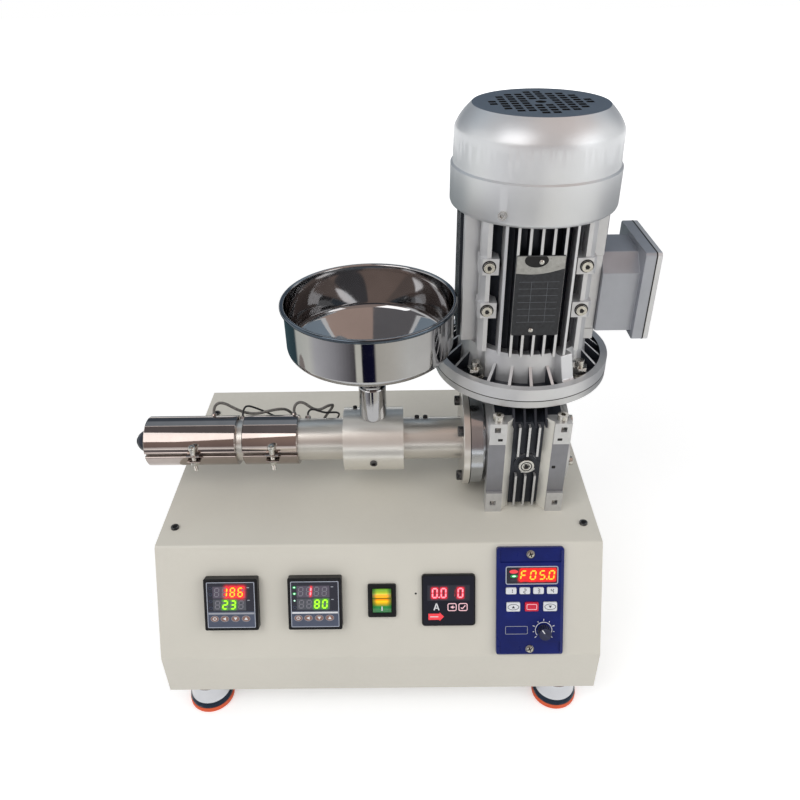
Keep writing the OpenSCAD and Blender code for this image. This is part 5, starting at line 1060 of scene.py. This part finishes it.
# %% Marks on the keys
NUMBER_KEY_S, ARROW_KEY_S = DRIVE_S + 11.2, DRIVE_S - 3.7    # the two rows, up the slope
for i, letter in enumerate("1234"):
    place = on_slope(DRIVE_X - 17.3 + 12.15 * i, NUMBER_KEY_S)
    marks = digit_bars(BARS[letter], 0, 0, 2.0, 3.8, 0.7, 0)
    print_marks(f"key_{letter}_mark", marks, place, PRINT["dark_print"], 7.35, 7.46,
                f"key_{letter}")
for name, x, tip in (("key_up", -15.3, 1), ("key_down", 17.5, -1)):
    place = on_slope(DRIVE_X + x, ARROW_KEY_S)
    arrow = [(0, 1.3 * tip), (-1.5, -1.1 * tip), (1.5, -1.1 * tip)]
    print_marks(name + "_mark", [arrow], place, PRINT["dark_print"], 7.35, 7.46, name,
                [(oval(10.2, 5.6), oval(9.2, 4.7))])
place = on_slope(DRIVE_X + 1.1, ARROW_KEY_S)
print_marks("key_stop_mark", [], place, PRINT["pink_print_glow"], 7.35, 7.44, "key_stop",
            [border(9.2, 5.2, 1.2, 0.5)])
print("seven keys marked")

# %% Pointer of the speed knob
place = on_slope(DRIVE_X + knob_x, DRIVE_S + knob_y) @ turned_by(35, "Z")
print_marks("knob_pointer", [stroke(0, 1.0, 0, 5.0, 0.9)], place, PRINT["pale_print"], 15.2, 15.42,
            "speed_knob")
print("pointer rides on the knob")

# %% [markdown]
# ## Turned pieces
# Hopper, heater bands, barrel and nozzle are turned or rolled, and polished, so any flat facet
# would show. They are drawn again as fine profiles, in the places of their nodes. The barrel's
# long side is split into short rings, because very long thin faces reflect unevenly.

# %% The hopper
RIM_Z, CONE_TOP_Z, CONE_RISE = 145.6, 109.0, 36    # heights above the screw's axis, of the cone
HOPPER_R, SPOUT_R, SPOUT_LOW = 72.7, 10.5, 26
TUBE_LOW, TUBE_TOP = 21.5, 60.5


def hopper_side(inset):
    """The side from the spout up to the rim, moved inward by the inset."""
    wall, spout = HOPPER_R - inset, SPOUT_R - inset
    fall = math.degrees(math.atan(CONE_RISE / (wall - SPOUT_R)))
    corner = 8 - inset / 2
    rise = CONE_TOP_Z + inset * 0.6
    bend = [around(corner, fall - 90 + (90 - fall) * k / 12, wall - corner, rise) for k in range(13)]
    return [(spout, SPOUT_LOW), (spout, 62), (spout + 0.2, 64.2 + inset * 0.4),
            (spout + 1.9, 66 + inset * 0.4)] + bend


bead = [around(2.0, a, HOPPER_R + 1, RIM_Z) for a in range(-120, 181, 15)]
profile = hopper_side(0) + bead + list(reversed(hopper_side(1.2)))
mesh = bmesh.new()
add_turned(mesh, profile, stand(HOPPER_X, AXIS_Y, AXIS_Z), 192)
hopper = make_piece("hopper_bowl", mesh, FINISH["hopper_steel"], "hopper", sharp=50,
                    stands_for=("hopper",))
rim_shadow = make_finish("rim_shadow", "4C555E", (0.08, 0.16), 1.0, drift=0.1, patch=30, grain=0.004)


def under_rim(at, normal):
    return at.z > AXIS_Z + RIM_Z - 1.9 and math.hypot(at.x - HOPPER_X, at.y - AXIS_Y) > HOPPER_R + 1.8


repaint(hopper, rim_shadow, under_rim)
print("hopper profile points:", len(profile))

# %% The feed tube
mesh = bmesh.new()
add_turned(mesh, [(7.5, TUBE_LOW), (12.5, TUBE_LOW), (12.5, TUBE_TOP - 0.6), (12.0, TUBE_TOP),
                  (11.0, TUBE_TOP), (10.8, TUBE_TOP - 0.3), (10.8, SPOUT_LOW), (7.5, SPOUT_LOW)],
           stand(HOPPER_X, AXIS_Y, AXIS_Z), 96)
make_piece("feed_tube_turned", mesh, FINISH["hopper_steel"], stands_for=("feed_tube",))
print("feed tube stands", TUBE_TOP - TUBE_LOW, "mm high")

# %% The barrel
BORE_R, BARREL_R, FLANGE_R, FLANGE_BACK = 8, 20, 44, -6.3
tip, ring_count = TIP_X - FLANGE_X, 15
start, run = tip + 0.6, FLANGE_BACK - tip - 0.6
outside = [(BARREL_R, start + run * i / ring_count) for i in range(ring_count + 1)]
flange = [(FLANGE_R - 0.5, FLANGE_BACK), (FLANGE_R, FLANGE_BACK + 0.5), (FLANGE_R, 0), (BORE_R, 0)]
mesh = bmesh.new()
add_turned(mesh, [(BORE_R, tip), (BARREL_R - 0.6, tip)] + outside + flange, on_screw(FLANGE_X), 160)
make_piece("barrel_turned", mesh, FINISH["barrel_steel"], sharp=40,
           stands_for=("barrel",))
print("barrel runs from", TIP_X, "to", FLANGE_X, "mm")

# %% The nozzle
NOZZLE_R, NOZZLE_LONG = 11.8, 13
dome = [(NOZZLE_R * math.cos(a) ** 0.9, -NOZZLE_LONG * math.sin(a) ** 1.15)
        for a in [math.radians(degrees) for degrees in range(0, 70, 6)]]
profile = [(0.9, 0), (7.9, 12), (7.9, 0)] + dome + [(3.1, -NOZZLE_LONG), (0.9, -NOZZLE_LONG)]
mesh = bmesh.new()
add_turned(mesh, profile, on_screw(TIP_X), 96)
make_piece("nozzle_dome", mesh, FINISH["nozzle_steel"], sharp=40, stands_for=("nozzle",))
print("nozzle dome has", len(dome), "rings")

# %% The heater bands
BANDS = (    # name, node, left end, length, place of the clamp as a share of it, place of the lead
    ("front_band", "front_heater", TIP_X, 85.3, 0.553, -158),
    ("rear_band", "rear_heater", -126.9, 51.4, 0.56, -81),
)
BAND_IN, BAND_OUT, SLIT_HALF = 20.1, 23.5, 2.5


def heater_band(name, node, x, length, share, lead_x):
    """A sheet rolled round the barrel, open in front, with rolled lips and two clamp ears."""
    mesh = bmesh.new()
    open_half = math.degrees(math.asin(SLIT_HALF / BAND_OUT))
    wall = [(BAND_IN, 0.0), (BAND_OUT - 0.6, 0.0), (BAND_OUT, 0.6), (BAND_OUT, length - 0.6),
            (BAND_OUT - 0.6, length), (BAND_IN, length)]
    add_turned(mesh, wall, on_screw(x), 150, -90 + open_half, 360 - 2 * open_half)
    for side in (-1, 1):
        lip = [(side * (2.6 + 1.3 * math.cos(a)), -21.9 + 1.9 * math.sin(a))
               for a in [math.radians(degrees) for degrees in range(0, 360, 20)]]
        add_cut(mesh, lip[::side], 0.4, length - 0.4, on_screw(x))
        ear = oblong(1.2, 10.6, 0.5, side * 3.1, -25.4)
        add_cut(mesh, ear, length * share - 6, length * share + 6, on_screw(x))
    exit_place = on_screw(lead_x) @ turned_by(-35, "Z") @ turned_by(-90, "Y")
    add_turned(mesh, [(0, 20), (2.4, 20), (2.4, 24.6), (2.0, 25.4), (1.5, 26), (0, 26)], exit_place, 32)
    make_piece(name, mesh, FINISH["heater_band"], sharp=40, stands_for=(node,))


for band in BANDS:
    heater_band(*band)
print(len(BANDS), "heater bands")

# %% [markdown]
# ## Clamp screws, flange screws and small plugs
# The clamp screws are long bright screws with a nut below; the barrel's flange is held by dark
# socket screws. Threads are rings of small ridges, which look right at this size.

# %% Screws of the barrel
def threaded(r, low, high, pitch=0.7):
    """The outline of a rod with ridges in place of a thread."""
    turns = int((high - low) / pitch)
    side = []
    for i in range(turns):
        side += [(r, low + i * pitch), (r - 0.28, low + (i + 0.5) * pitch)]
    return [(0, low)] + side + [(r, high), (0, high)]


def add_socket_head(mesh, place, r, h, shank, shank_r):
    """A round head with a socket, on a plain shank."""
    add_turned(mesh, [(0, h * 0.45), (r * 0.48, h * 0.45), (r * 0.52, h), (r * 0.9, h), (r, h * 0.86),
                      (r, 0), (shank_r, 0), (shank_r, -shank), (0, -shank)], place, 48)


bright, dark = bmesh.new(), bmesh.new()
for name, node, x, length, share, lead_x in BANDS:
    place = on_screw(x) @ Matrix.Translation((0, -27.1, length * share)) @ turned_by(-90, "Y")
    add_turned(bright, threaded(2.0, -14, 3.7), place, 24)
    add_turned(bright, [(0, 3.7), (2.8, 3.7), (2.8, 10), (0, 10)], place, 32)
    add_turned(bright, [(0, 14), (1.2, 13.9), (1.3, 13.1), (2.4, 13.1), (3.2, 12.6), (3.6, 11.6),
                        (3.6, 10), (0, 10)], place, 40)
    add_cut(bright, hexagon(3.6), -7.7, -3.9, place)
    add_turned(bright, [(0, -3.9), (4.0, -3.9), (4.0, -3.7), (0, -3.7)], place, 32)
make_piece("clamp_screws", bright, FINISH["bright_screw"], stands_for=("barrel_bolts",))
for a in QUARTERS:
    place = on_screw(FLANGE_X + FLANGE_BACK) @ turned_by(a, "Z") @ Matrix.Translation((36, 0, 0))
    add_socket_head(dark, place @ turned_by(180, "X"), 4.8, 5, 12, 2.9)
collar_screw = on_screw(HOPPER_X) @ turned_by(14, "Z") @ turned_by(90, "X")
add_socket_head(dark, collar_screw @ Matrix.Translation((0, 0, 30)), 3.4, 1.5, 9, 3.3)
make_piece("flange_screws", dark, FINISH["dark_screw"])
print("clamp screws bright, flange screws dark")

# %% Two plugs and a screw on top at the back
mesh = bmesh.new()
for x, r, reach in ((36.5, 2.2, 20), (44.5, 2.2, 20), (-22, 2.0, 30)):
    place = on_screw(x) @ turned_by(-20, "Z") @ turned_by(-90, "Y") @ Matrix.Translation((0, 0, reach))
    add_turned(mesh, [(0, -1), (r, -1), (r, 1.9), (r - 0.4, 2.3), (r * 0.55, 2.3), (r * 0.5, 1.2),
                      (0, 1.2)], place, 32)
make_piece("barrel_plugs", mesh, FINISH["black_plastic"])
print("plugs at 36.5, 44.5 and -22 mm")

# %% [markdown]
# ## Details of the motor
# A rating plate with plain rules sits on the front fins, held by two rivets. One thick block
# stands among the thin ribs of the flange. Washers lie under the flange nuts.

# %% The rating plate
place = stand(GEAR_X, WORM_Y - 61.5, 378.5, turned_by(90, "X"))
mesh = bmesh.new()
PLATE_W, PLATE_H = 39, 71
add_cut(mesh, oblong(PLATE_W, PLATE_H, 1.2), -0.2, 0.7, place)
make_piece("rating_plate", mesh, PRINT["plate_dark"], round_by=0.2)
wave = [(-19.2 + 38.4 * k / 16, 20.5 - 2.5 * math.sin(math.pi * k / 16) + 0.25 * k)
        for k in range(1, 16)]
band = [(-19.2, 35), (-19.2, 20.5)] + wave + [(19.2, 24.5), (19.2, 35)]
print_marks("rating_plate_band", [band[::-1]], place, PRINT["plate_bright"], 0.68, 0.86)
# painted shade in the recess at the top of the plate
print_marks("rating_plate_recess", [[(x, min(y, 34.9)) for x, y in oval(19, 12, -3.6, 31.5)]], place,
            PRINT["dark_joint_and_shade"], 0.84, 0.92)
rules = [stroke(-16, y, 16, y, 0.25) for y in (13, 7, 1, -5, -11, -17, -23)]
rules += [stroke(x, 13, x, -23, 0.25) for x in (-6, 7)]
print_marks("rating_plate_rules", rules, place, PRINT["rule_print"], 0.68, 0.76)
mesh = bmesh.new()
for x, y in ((0.5, 30), (-3.5, -30.5)):
    add_turned(mesh, [(0, 0.6), (2.1, 0.6), (1.9, 1.5), (1.1, 2.1), (0, 2.3)],
               place @ Matrix.Translation((x, y, 0)), 32)
make_piece("plate_rivets", mesh, FINISH["bright_screw"])
print("rating plate", PLATE_W, "x", PLATE_H, "mm")

# %% Block rib and washers
mesh = bmesh.new()
BLOCK_HALF = 6.2
side = [(54, 5.5), (74.5, 5.5), (74.5, 9.5), (70.5, 12), (65.5, 33.2), (54, 33.2)]
add_cut(mesh, side, -BLOCK_HALF, BLOCK_HALF, on_motor(JOINT_Z) @ turned_by(-62, "Z") @ turned_by(90, "X"))
make_piece("flange_block", mesh, FINISH["motor_paint"], round_by=0.8, steps=3)
mesh = bmesh.new()
for a in QUARTERS:
    place = on_motor(JOINT_Z + 6) @ turned_by(a, "Z") @ Matrix.Translation((65, 0, 0))
    add_turned(mesh, [(4.2, 0), (8.6, 0), (8.6, 1.4), (4.2, 1.4)], place, 48)
    add_turned(mesh, [(4.2, 1.4), (7.4, 1.4), (7.4, 3.0), (4.2, 3.0)], place, 40, 10, 345)
    add_turned(mesh, threaded(4.05, 8.6, 13.0, 1.0), place, 32)
make_piece("flange_washers", mesh, FINISH["bright_screw"], round_by=0.15)
print("block rib and four washers")

# %% [markdown]
# ## Screws of the cabinet
# Dark cross-head screws hold the top and the back, two bright ones hold the speed panel. Each
# head is a low dome, and two thin dark bars that cross on it are painted shade for its slot.

# %% Cross-head screws
def add_cross_head(mesh, place, r, h):
    dome = [(r * math.sin(a), h * math.cos(a) ** 0.5) for a in [math.radians(10 * k) for k in range(1, 9)]]
    add_turned(mesh, [(0, h)] + dome + [(r, 0), (0, 0)], place, 40)


def add_cross(mesh, place, r, h):
    for turn in (20, 110):
        add_cut(mesh, oblong(r * 1.15, r * 0.26, 0.08), h - 0.25, h + 0.06, place @ turned_by(turn, "Z"))


SCREW_X, BACK_Y = 187.5, 300
heads, crosses, bright, bright_crosses = (bmesh.new() for _ in range(4))
for side in (-1, 1):
    for y in (70.13, 256):
        place = stand(side * SCREW_X, y, TOP_Z)
        add_cross_head(heads, place, 3.7, 2.0)
        add_cross(crosses, place, 3.7, 2.0)
    for z in (52, 149.434):
        place = stand(side * SCREW_X, BACK_Y, z, turned_by(-90, "X"))
        add_cross_head(heads, place, 3.7, 2.0)
        add_cross(crosses, place, 3.7, 2.0)
    place = on_slope(DRIVE_X, DRIVE_S + side * 44.2, 4.8)
    add_cross_head(bright, place, 3.9, 1.5)
    add_cross(bright_crosses, place, 3.9, 1.5)
make_piece("top_screw_heads", heads, FINISH["dark_screw"], sharp=50)
make_piece("top_screw_crosses", crosses, PRINT["dark_joint_and_shade"])
make_piece("panel_screw_heads", bright, FINISH["bright_screw"], sharp=50)
make_piece("panel_screw_crosses", bright_crosses, PRINT["dark_joint_and_shade"])
print("eight dark and two bright cross-head screws")

# %% [markdown]
# ## The free leads
# Two braided heater leads and two thin probe leads leave the barrel and go into the cabinet
# through one grommet. Each is a fixed length of something flexible: it leaves straight, bends
# no tighter than twice its thickness and lies along the barrel. The points are those of the
# CAD route, measured from the screw's axis, with a smooth curve through them.

# %% Routes of the leads
ROUTES = {
    "front_heater_lead": [
        (-158, 14.9, 21.3), (-158, 16.6, 23.8), (-157, 18.7, 26.7), (-154.5, 20, 28.7),
        (-150.8, 20.4, 29.2), (-146, 20, 27.9), (-141, 19.4, 25), (-135, 19, 21.6),
        (-129, 18.8, 19), (-122.5, 18.7, 17.8), (-116, 18.7, 18), (-109, 18.8, 19.6),
        (-102, 19, 21.2), (-96, 20.5, 21.2), (-91.5, 24, 18.6), (-88.5, 28.5, 13.5),
        (-85.5, 33, 6), (-81.5, 37.5, -3), (-77, 41.5, -13), (-72, 45.3, -23),
        (-67.8, 48.5, -34), (-65.3, 50.4, -44), (-64.6, 51, -56)],
    "rear_heater_lead": [
        (-81, 14.9, 21.3), (-81, 16.6, 23.8), (-80, 18.6, 26.5), (-77.6, 19.9, 28.4),
        (-74.2, 20.4, 28.8), (-70.4, 20.3, 27.2), (-66.8, 20.1, 24.2), (-63, 19.9, 21.6),
        (-58.5, 19.7, 20.6), (-54, 19.9, 21.8), (-49.8, 21, 23.6), (-46.2, 23.8, 23),
        (-45, 28.3, 19.5), (-47, 32.4, 13.3), (-51, 35.8, 6), (-55.5, 39, -2.5),
        (-59, 42.5, -12), (-60.8, 46, -23), (-60.4, 49.3, -34), (-59.6, 50.8, -45),
        (-59.4, 51, -56)],
    "front_probe_lead": [
        (-130, 12.2, 19.5), (-130, 13.3, 21.2), (-129.5, 15.4, 23.7), (-128, 19, 25.2),
        (-125.5, 22.8, 23.6), (-122, 26.3, 19.8), (-117, 30, 14.5), (-111, 34, 8),
        (-104, 38, 0.5), (-96, 42, -7.5), (-88, 46, -16), (-79.5, 50, -24.5),
        (-71.8, 53.5, -33), (-66.3, 55.2, -42), (-63.8, 55.5, -56)],
    "rear_probe_lead": [
        (-67.5, 12.2, 19.5), (-67.5, 13.3, 21.2), (-65.8, 15.2, 23.2), (-62, 16, 23.3),
        (-57.5, 16, 21.6), (-51.5, 16.2, 19.6), (-45.5, 18, 18.4), (-41, 22, 15.5),
        (-39.5, 27.5, 10), (-41, 33, 3), (-44.5, 38.5, -5.5), (-49, 44, -15),
        (-53.6, 49.2, -26), (-57.6, 53.2, -37), (-59.8, 55.2, -47), (-60.2, 55.5, -56)],
}


def smooth_route(points, steps=5):
    """A curve through every point, as short straight pieces."""
    route = [spot(x, y + AXIS_Y, z + AXIS_Z) for x, y, z in points]
    wide = [2 * route[0] - route[1]] + route + [2 * route[-1] - route[-2]]
    fine = []
    for a, b, c, d in zip(wide, wide[1:], wide[2:], wide[3:]):
        for k in range(steps):
            t = k / steps
            fine.append(0.5 * (2 * b + (c - a) * t + (2 * a - 5 * b + 4 * c - d) * t ** 2
                               + (3 * b - a - 3 * c + d) * t ** 3))
    return fine + [route[-1]]


def route_length(route):
    return sum((b - a).length for a, b in zip(route, route[1:]))


print({name: round(route_length(smooth_route(points)), 4) for name, points in ROUTES.items()})

# %% Lay the leads
def lay_lead(name, diameter, finish):
    """A sleeve along its route; diameter in metres."""
    route = smooth_route(ROUTES[name])
    curve = bpy.data.curves.new(name + "_sleeve", "CURVE")
    curve.dimensions, curve.bevel_depth, curve.bevel_resolution = "3D", diameter / 2, 4
    curve.use_fill_caps = True
    line = curve.splines.new("POLY")
    line.points.add(len(route) - 1)
    for point, place in zip(line.points, route):
        point.co = (*place, 1)
    curve.materials.append(FINISH[finish])
    lead = bpy.data.objects.new(name + "_sleeve", curve)
    bpy.context.scene.collection.objects.link(lead)
    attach(lead, "machine")
    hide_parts(name)


lay_lead("front_heater_lead", 0.0027, "heater_lead")
lay_lead("rear_heater_lead", 0.0027, "heater_lead")
lay_lead("front_probe_lead", 0.0019, "probe_lead")
lay_lead("rear_probe_lead", 0.0019, "probe_lead")
print("four leads laid")

# %% [markdown]
# ## Floor, light and background
# The machine stands on a plain pale floor. Two large soft lamps and a pale sky light it at
# the level where a colour renders as it is written. The background is white for the camera,
# for reflections and through glass, so polished steel shows the same white room. Further out
# the floor grows as bright as the background, so that no horizon cuts the picture.

# %% The floor
FLOOR_HALF = 6    # metres
mesh = bmesh.new()
bmesh.ops.create_grid(mesh, x_segments=1, y_segments=1, size=FLOOR_HALF)
data = bpy.data.meshes.new("floor")
mesh.to_mesh(data)
mesh.free()
floor_finish = bpy.data.materials.new("pale_floor")
floor_finish.use_nodes = True
tree = floor_finish.node_tree
shader = tree.nodes["Principled BSDF"]
shader.inputs["Base Color"].default_value = (0.86, 0.86, 0.86, 1)
shader.inputs["Roughness"].default_value = 0.9
rays = add_node(tree, "LightPath")
seen = add_node(tree, "Math", {"operation": "MAXIMUM"})
bright_floor = add_node(tree, "Emission")
away = add_node(tree, "VectorMath", {"operation": "LENGTH"})
NEAR, FAR = 0.9, 3.0    # metres from the middle, where the floor starts and stops to brighten
runs_out = add_node(tree, "MapRange", From_Min=NEAR, From_Max=FAR, To_Min=0.4, To_Max=1.1)
join(tree, (add_node(tree, "TexCoord").outputs["Object"], away.inputs[0]),
     (away.outputs["Value"], runs_out.inputs["Value"]),
     (runs_out.outputs["Result"], bright_floor.inputs["Strength"]))
nothing = add_node(tree, "Emission", Strength=0.0)
choose, together = add_node(tree, "MixShader"), add_node(tree, "AddShader")
join(tree, (rays.outputs["Is Camera Ray"], seen.inputs[0]),
     (rays.outputs["Is Glossy Ray"], seen.inputs[1]), (seen.outputs[0], choose.inputs[0]),
     (nothing.outputs[0], choose.inputs[1]), (bright_floor.outputs[0], choose.inputs[2]),
     (shader.outputs[0], together.inputs[0]), (choose.outputs[0], together.inputs[1]),
     (together.outputs[0], tree.nodes["Material Output"].inputs["Surface"]))
data.materials.append(floor_finish)
floor = bpy.data.objects.new("floor", data)
bpy.context.scene.collection.objects.link(floor)
print("floor is", floor.dimensions[0], "m wide")

# %% The sky
world = bpy.data.worlds.new("pale_room")
bpy.context.scene.world = world
world.use_nodes = True
tree = world.node_tree
backdrop = tree.nodes["Background"]
backdrop.inputs["Color"].default_value = (1, 1, 1, 1)
rays = add_node(tree, "LightPath")
seen = [add_node(tree, "Math", {"operation": "MAXIMUM"}) for _ in range(2)]
SKY_LIGHT, SKY_SEEN = 0.58, 1.0    # strength as a light, and as what is seen or mirrored
strength = add_node(tree, "MapRange", To_Min=SKY_LIGHT, To_Max=SKY_SEEN)
join(tree, (rays.outputs["Is Camera Ray"], seen[0].inputs[0]),
     (rays.outputs["Is Glossy Ray"], seen[0].inputs[1]), (seen[0].outputs[0], seen[1].inputs[0]),
     (rays.outputs["Is Transmission Ray"], seen[1].inputs[1]),
     (seen[1].outputs[0], strength.inputs["Value"]),
     (strength.outputs["Result"], backdrop.inputs["Strength"]))
print("sky strength", SKY_LIGHT, "for light and", SKY_SEEN, "for what is seen")

# %% The lamps
def hang_lamp(name, place, aim, size, power):
    lamp = bpy.data.lights.new(name, "AREA")
    lamp.shape, lamp.size, lamp.energy = "SQUARE", size, power
    holder = bpy.data.objects.new(name, lamp)
    holder.location = place
    holder.rotation_euler = (Vector(aim) - Vector(place)).to_track_quat("-Z", "Y").to_euler()
    bpy.context.scene.collection.objects.link(holder)


hang_lamp("soft_key", (-1.1, -1.2, 1.9), (0, 0, 0.2), 1.4, 15)
hang_lamp("soft_fill", (1.6, -0.9, 1.2), (0, 0, 0.2), 1.2, 7)
print("two soft lamps")

# %% [markdown]
# ## Cards that steel can mirror
# Polished steel shows nothing but its surroundings. In an all-white room it would look like
# white paint, so photographers hang dark and tinted cards round it. These cards are seen only in
# reflections: they give no light, cast no shadow and stay out of the camera's view. One bends
# from the front over the top, one hangs behind. A ring lies round the machine's foot, because
# upright walls that are seen from above mirror what lies on the floor.

# %% Hang the cards
card_finish = bpy.data.materials.new("studio_card")
card_finish.use_nodes = True
tree = card_finish.node_tree
tree.nodes.remove(tree.nodes["Principled BSDF"])
card_light = add_node(tree, "Emission", Strength=1.0)
kept_shade = add_node(tree, "Attribute", {"attribute_name": "shade"})
join(tree, (kept_shade.outputs["Color"], card_light.inputs["Color"]),
     (card_light.outputs[0], tree.nodes["Material Output"].inputs["Surface"]))
ARC_R, ARC_Z = 2.7, 0.25    # metres: radius of the bent cards and height of their middle


def hang_card(name, rows):
    """Rows of (place, colour), each row as long as the others, make one card."""
    data = bpy.data.meshes.new(name)
    mesh = bmesh.new()
    shade = mesh.verts.layers.float_color.new("shade")
    grid = [[mesh.verts.new(place) for place, colour in row] for row in rows]
    for verts, row in zip(grid, rows):
        for vert, (place, colour) in zip(verts, row):
            vert[shade] = (*colour, 1.0)
    for near, far in zip(grid, grid[1:]):
        for i in range(len(near) - 1):
            mesh.faces.new((near[i], near[i + 1], far[i + 1], far[i]))
    mesh.to_mesh(data)
    mesh.free()
    data.materials.append(card_finish)
    card = bpy.data.objects.new(name, data)
    bpy.context.scene.collection.objects.link(card)
    card.visible_camera = card.visible_diffuse = card.visible_shadow = False
    card.visible_transmission = card.visible_volume_scatter = False


def arc_card(name, turns, columns):
    """A card bent round the machine from front (0 degrees) over the top to the back (180)."""
    rows = []
    for turn, shades in turns:
        a = math.radians(turn)
        rows.append([(Vector((x, -ARC_R * math.cos(a), ARC_Z + ARC_R * math.sin(a))), shade)
                     for x, shade in zip(columns, shades)])
    hang_card(name, rows)


pale, tan, clay, umber = (0.34, 0.27, 0.26), (0.46, 0.36, 0.32), (0.66, 0.49, 0.42), (0.22, 0.21, 0.22)
split = [umber, umber, clay, clay]    # dark on the left, warm on the right
arc_card("front_card", [(4, [pale] * 4), (40, [tan] * 4), (62, [tan] * 4), (64, split), (106, split)],
         (-3, -0.14, -0.1, 3))
sky_blue, slate = (0.36, 0.44, 0.52), (0.10, 0.13, 0.17)
arc_card("back_card", [(110, [sky_blue] * 2), (136, [sky_blue] * 2), (144, [slate] * 2),
                       (174, [slate] * 2)], (-3.4, 3.4))
RING_IN, RING_OUT, RING_Z = 0.42, 2.0, 0.004    # metres
RING_SHADES = [    # degrees from the front, counted to the right, and the colour there
    (-180, (0.05, 0.09, 0.10)), (-112, (0.05, 0.09, 0.11)), (-107, (0.8, 0.82, 0.76)),
    (-84, (1, 1, 0.93)), (-72, (0.78, 0.77, 0.8)), (-45, (0.5, 0.49, 0.52)),
    (-18, (0.11, 0.10, 0.11)), (-16, (1, 0.98, 0.88)), (-10, (1, 0.98, 0.88)),
    (-8.5, (0.01, 0.01, 0.03)), (6, (0.01, 0.01, 0.04)), (9, (0.8, 0.76, 0.68)),
    (28, (0.9, 0.86, 0.78)), (50, (1, 0.99, 0.94)), (84, (0.92, 0.9, 0.86)),
    (92, (0.14, 0.14, 0.16)), (180, (0.05, 0.09, 0.10))]
rings = []
for turn, colour in RING_SHADES:
    a = math.radians(turn)
    towards = Vector((math.sin(a), -math.cos(a), 0))
    rings.append([(towards * reach + Vector((0, 0, RING_Z)), colour) for reach in (RING_IN, RING_OUT)])
rows = []
for first, last in zip(rings, rings[1:]):
    for share in [k / 6 for k in range(6)]:
        rows.append([(a.lerp(b, share).normalized() * a.length, Vector(near).lerp(Vector(far), share))
                     for (a, near), (b, far) in zip(first, last)])
hang_card("floor_ring", rows + [rings[-1]])
print("three cards hung")
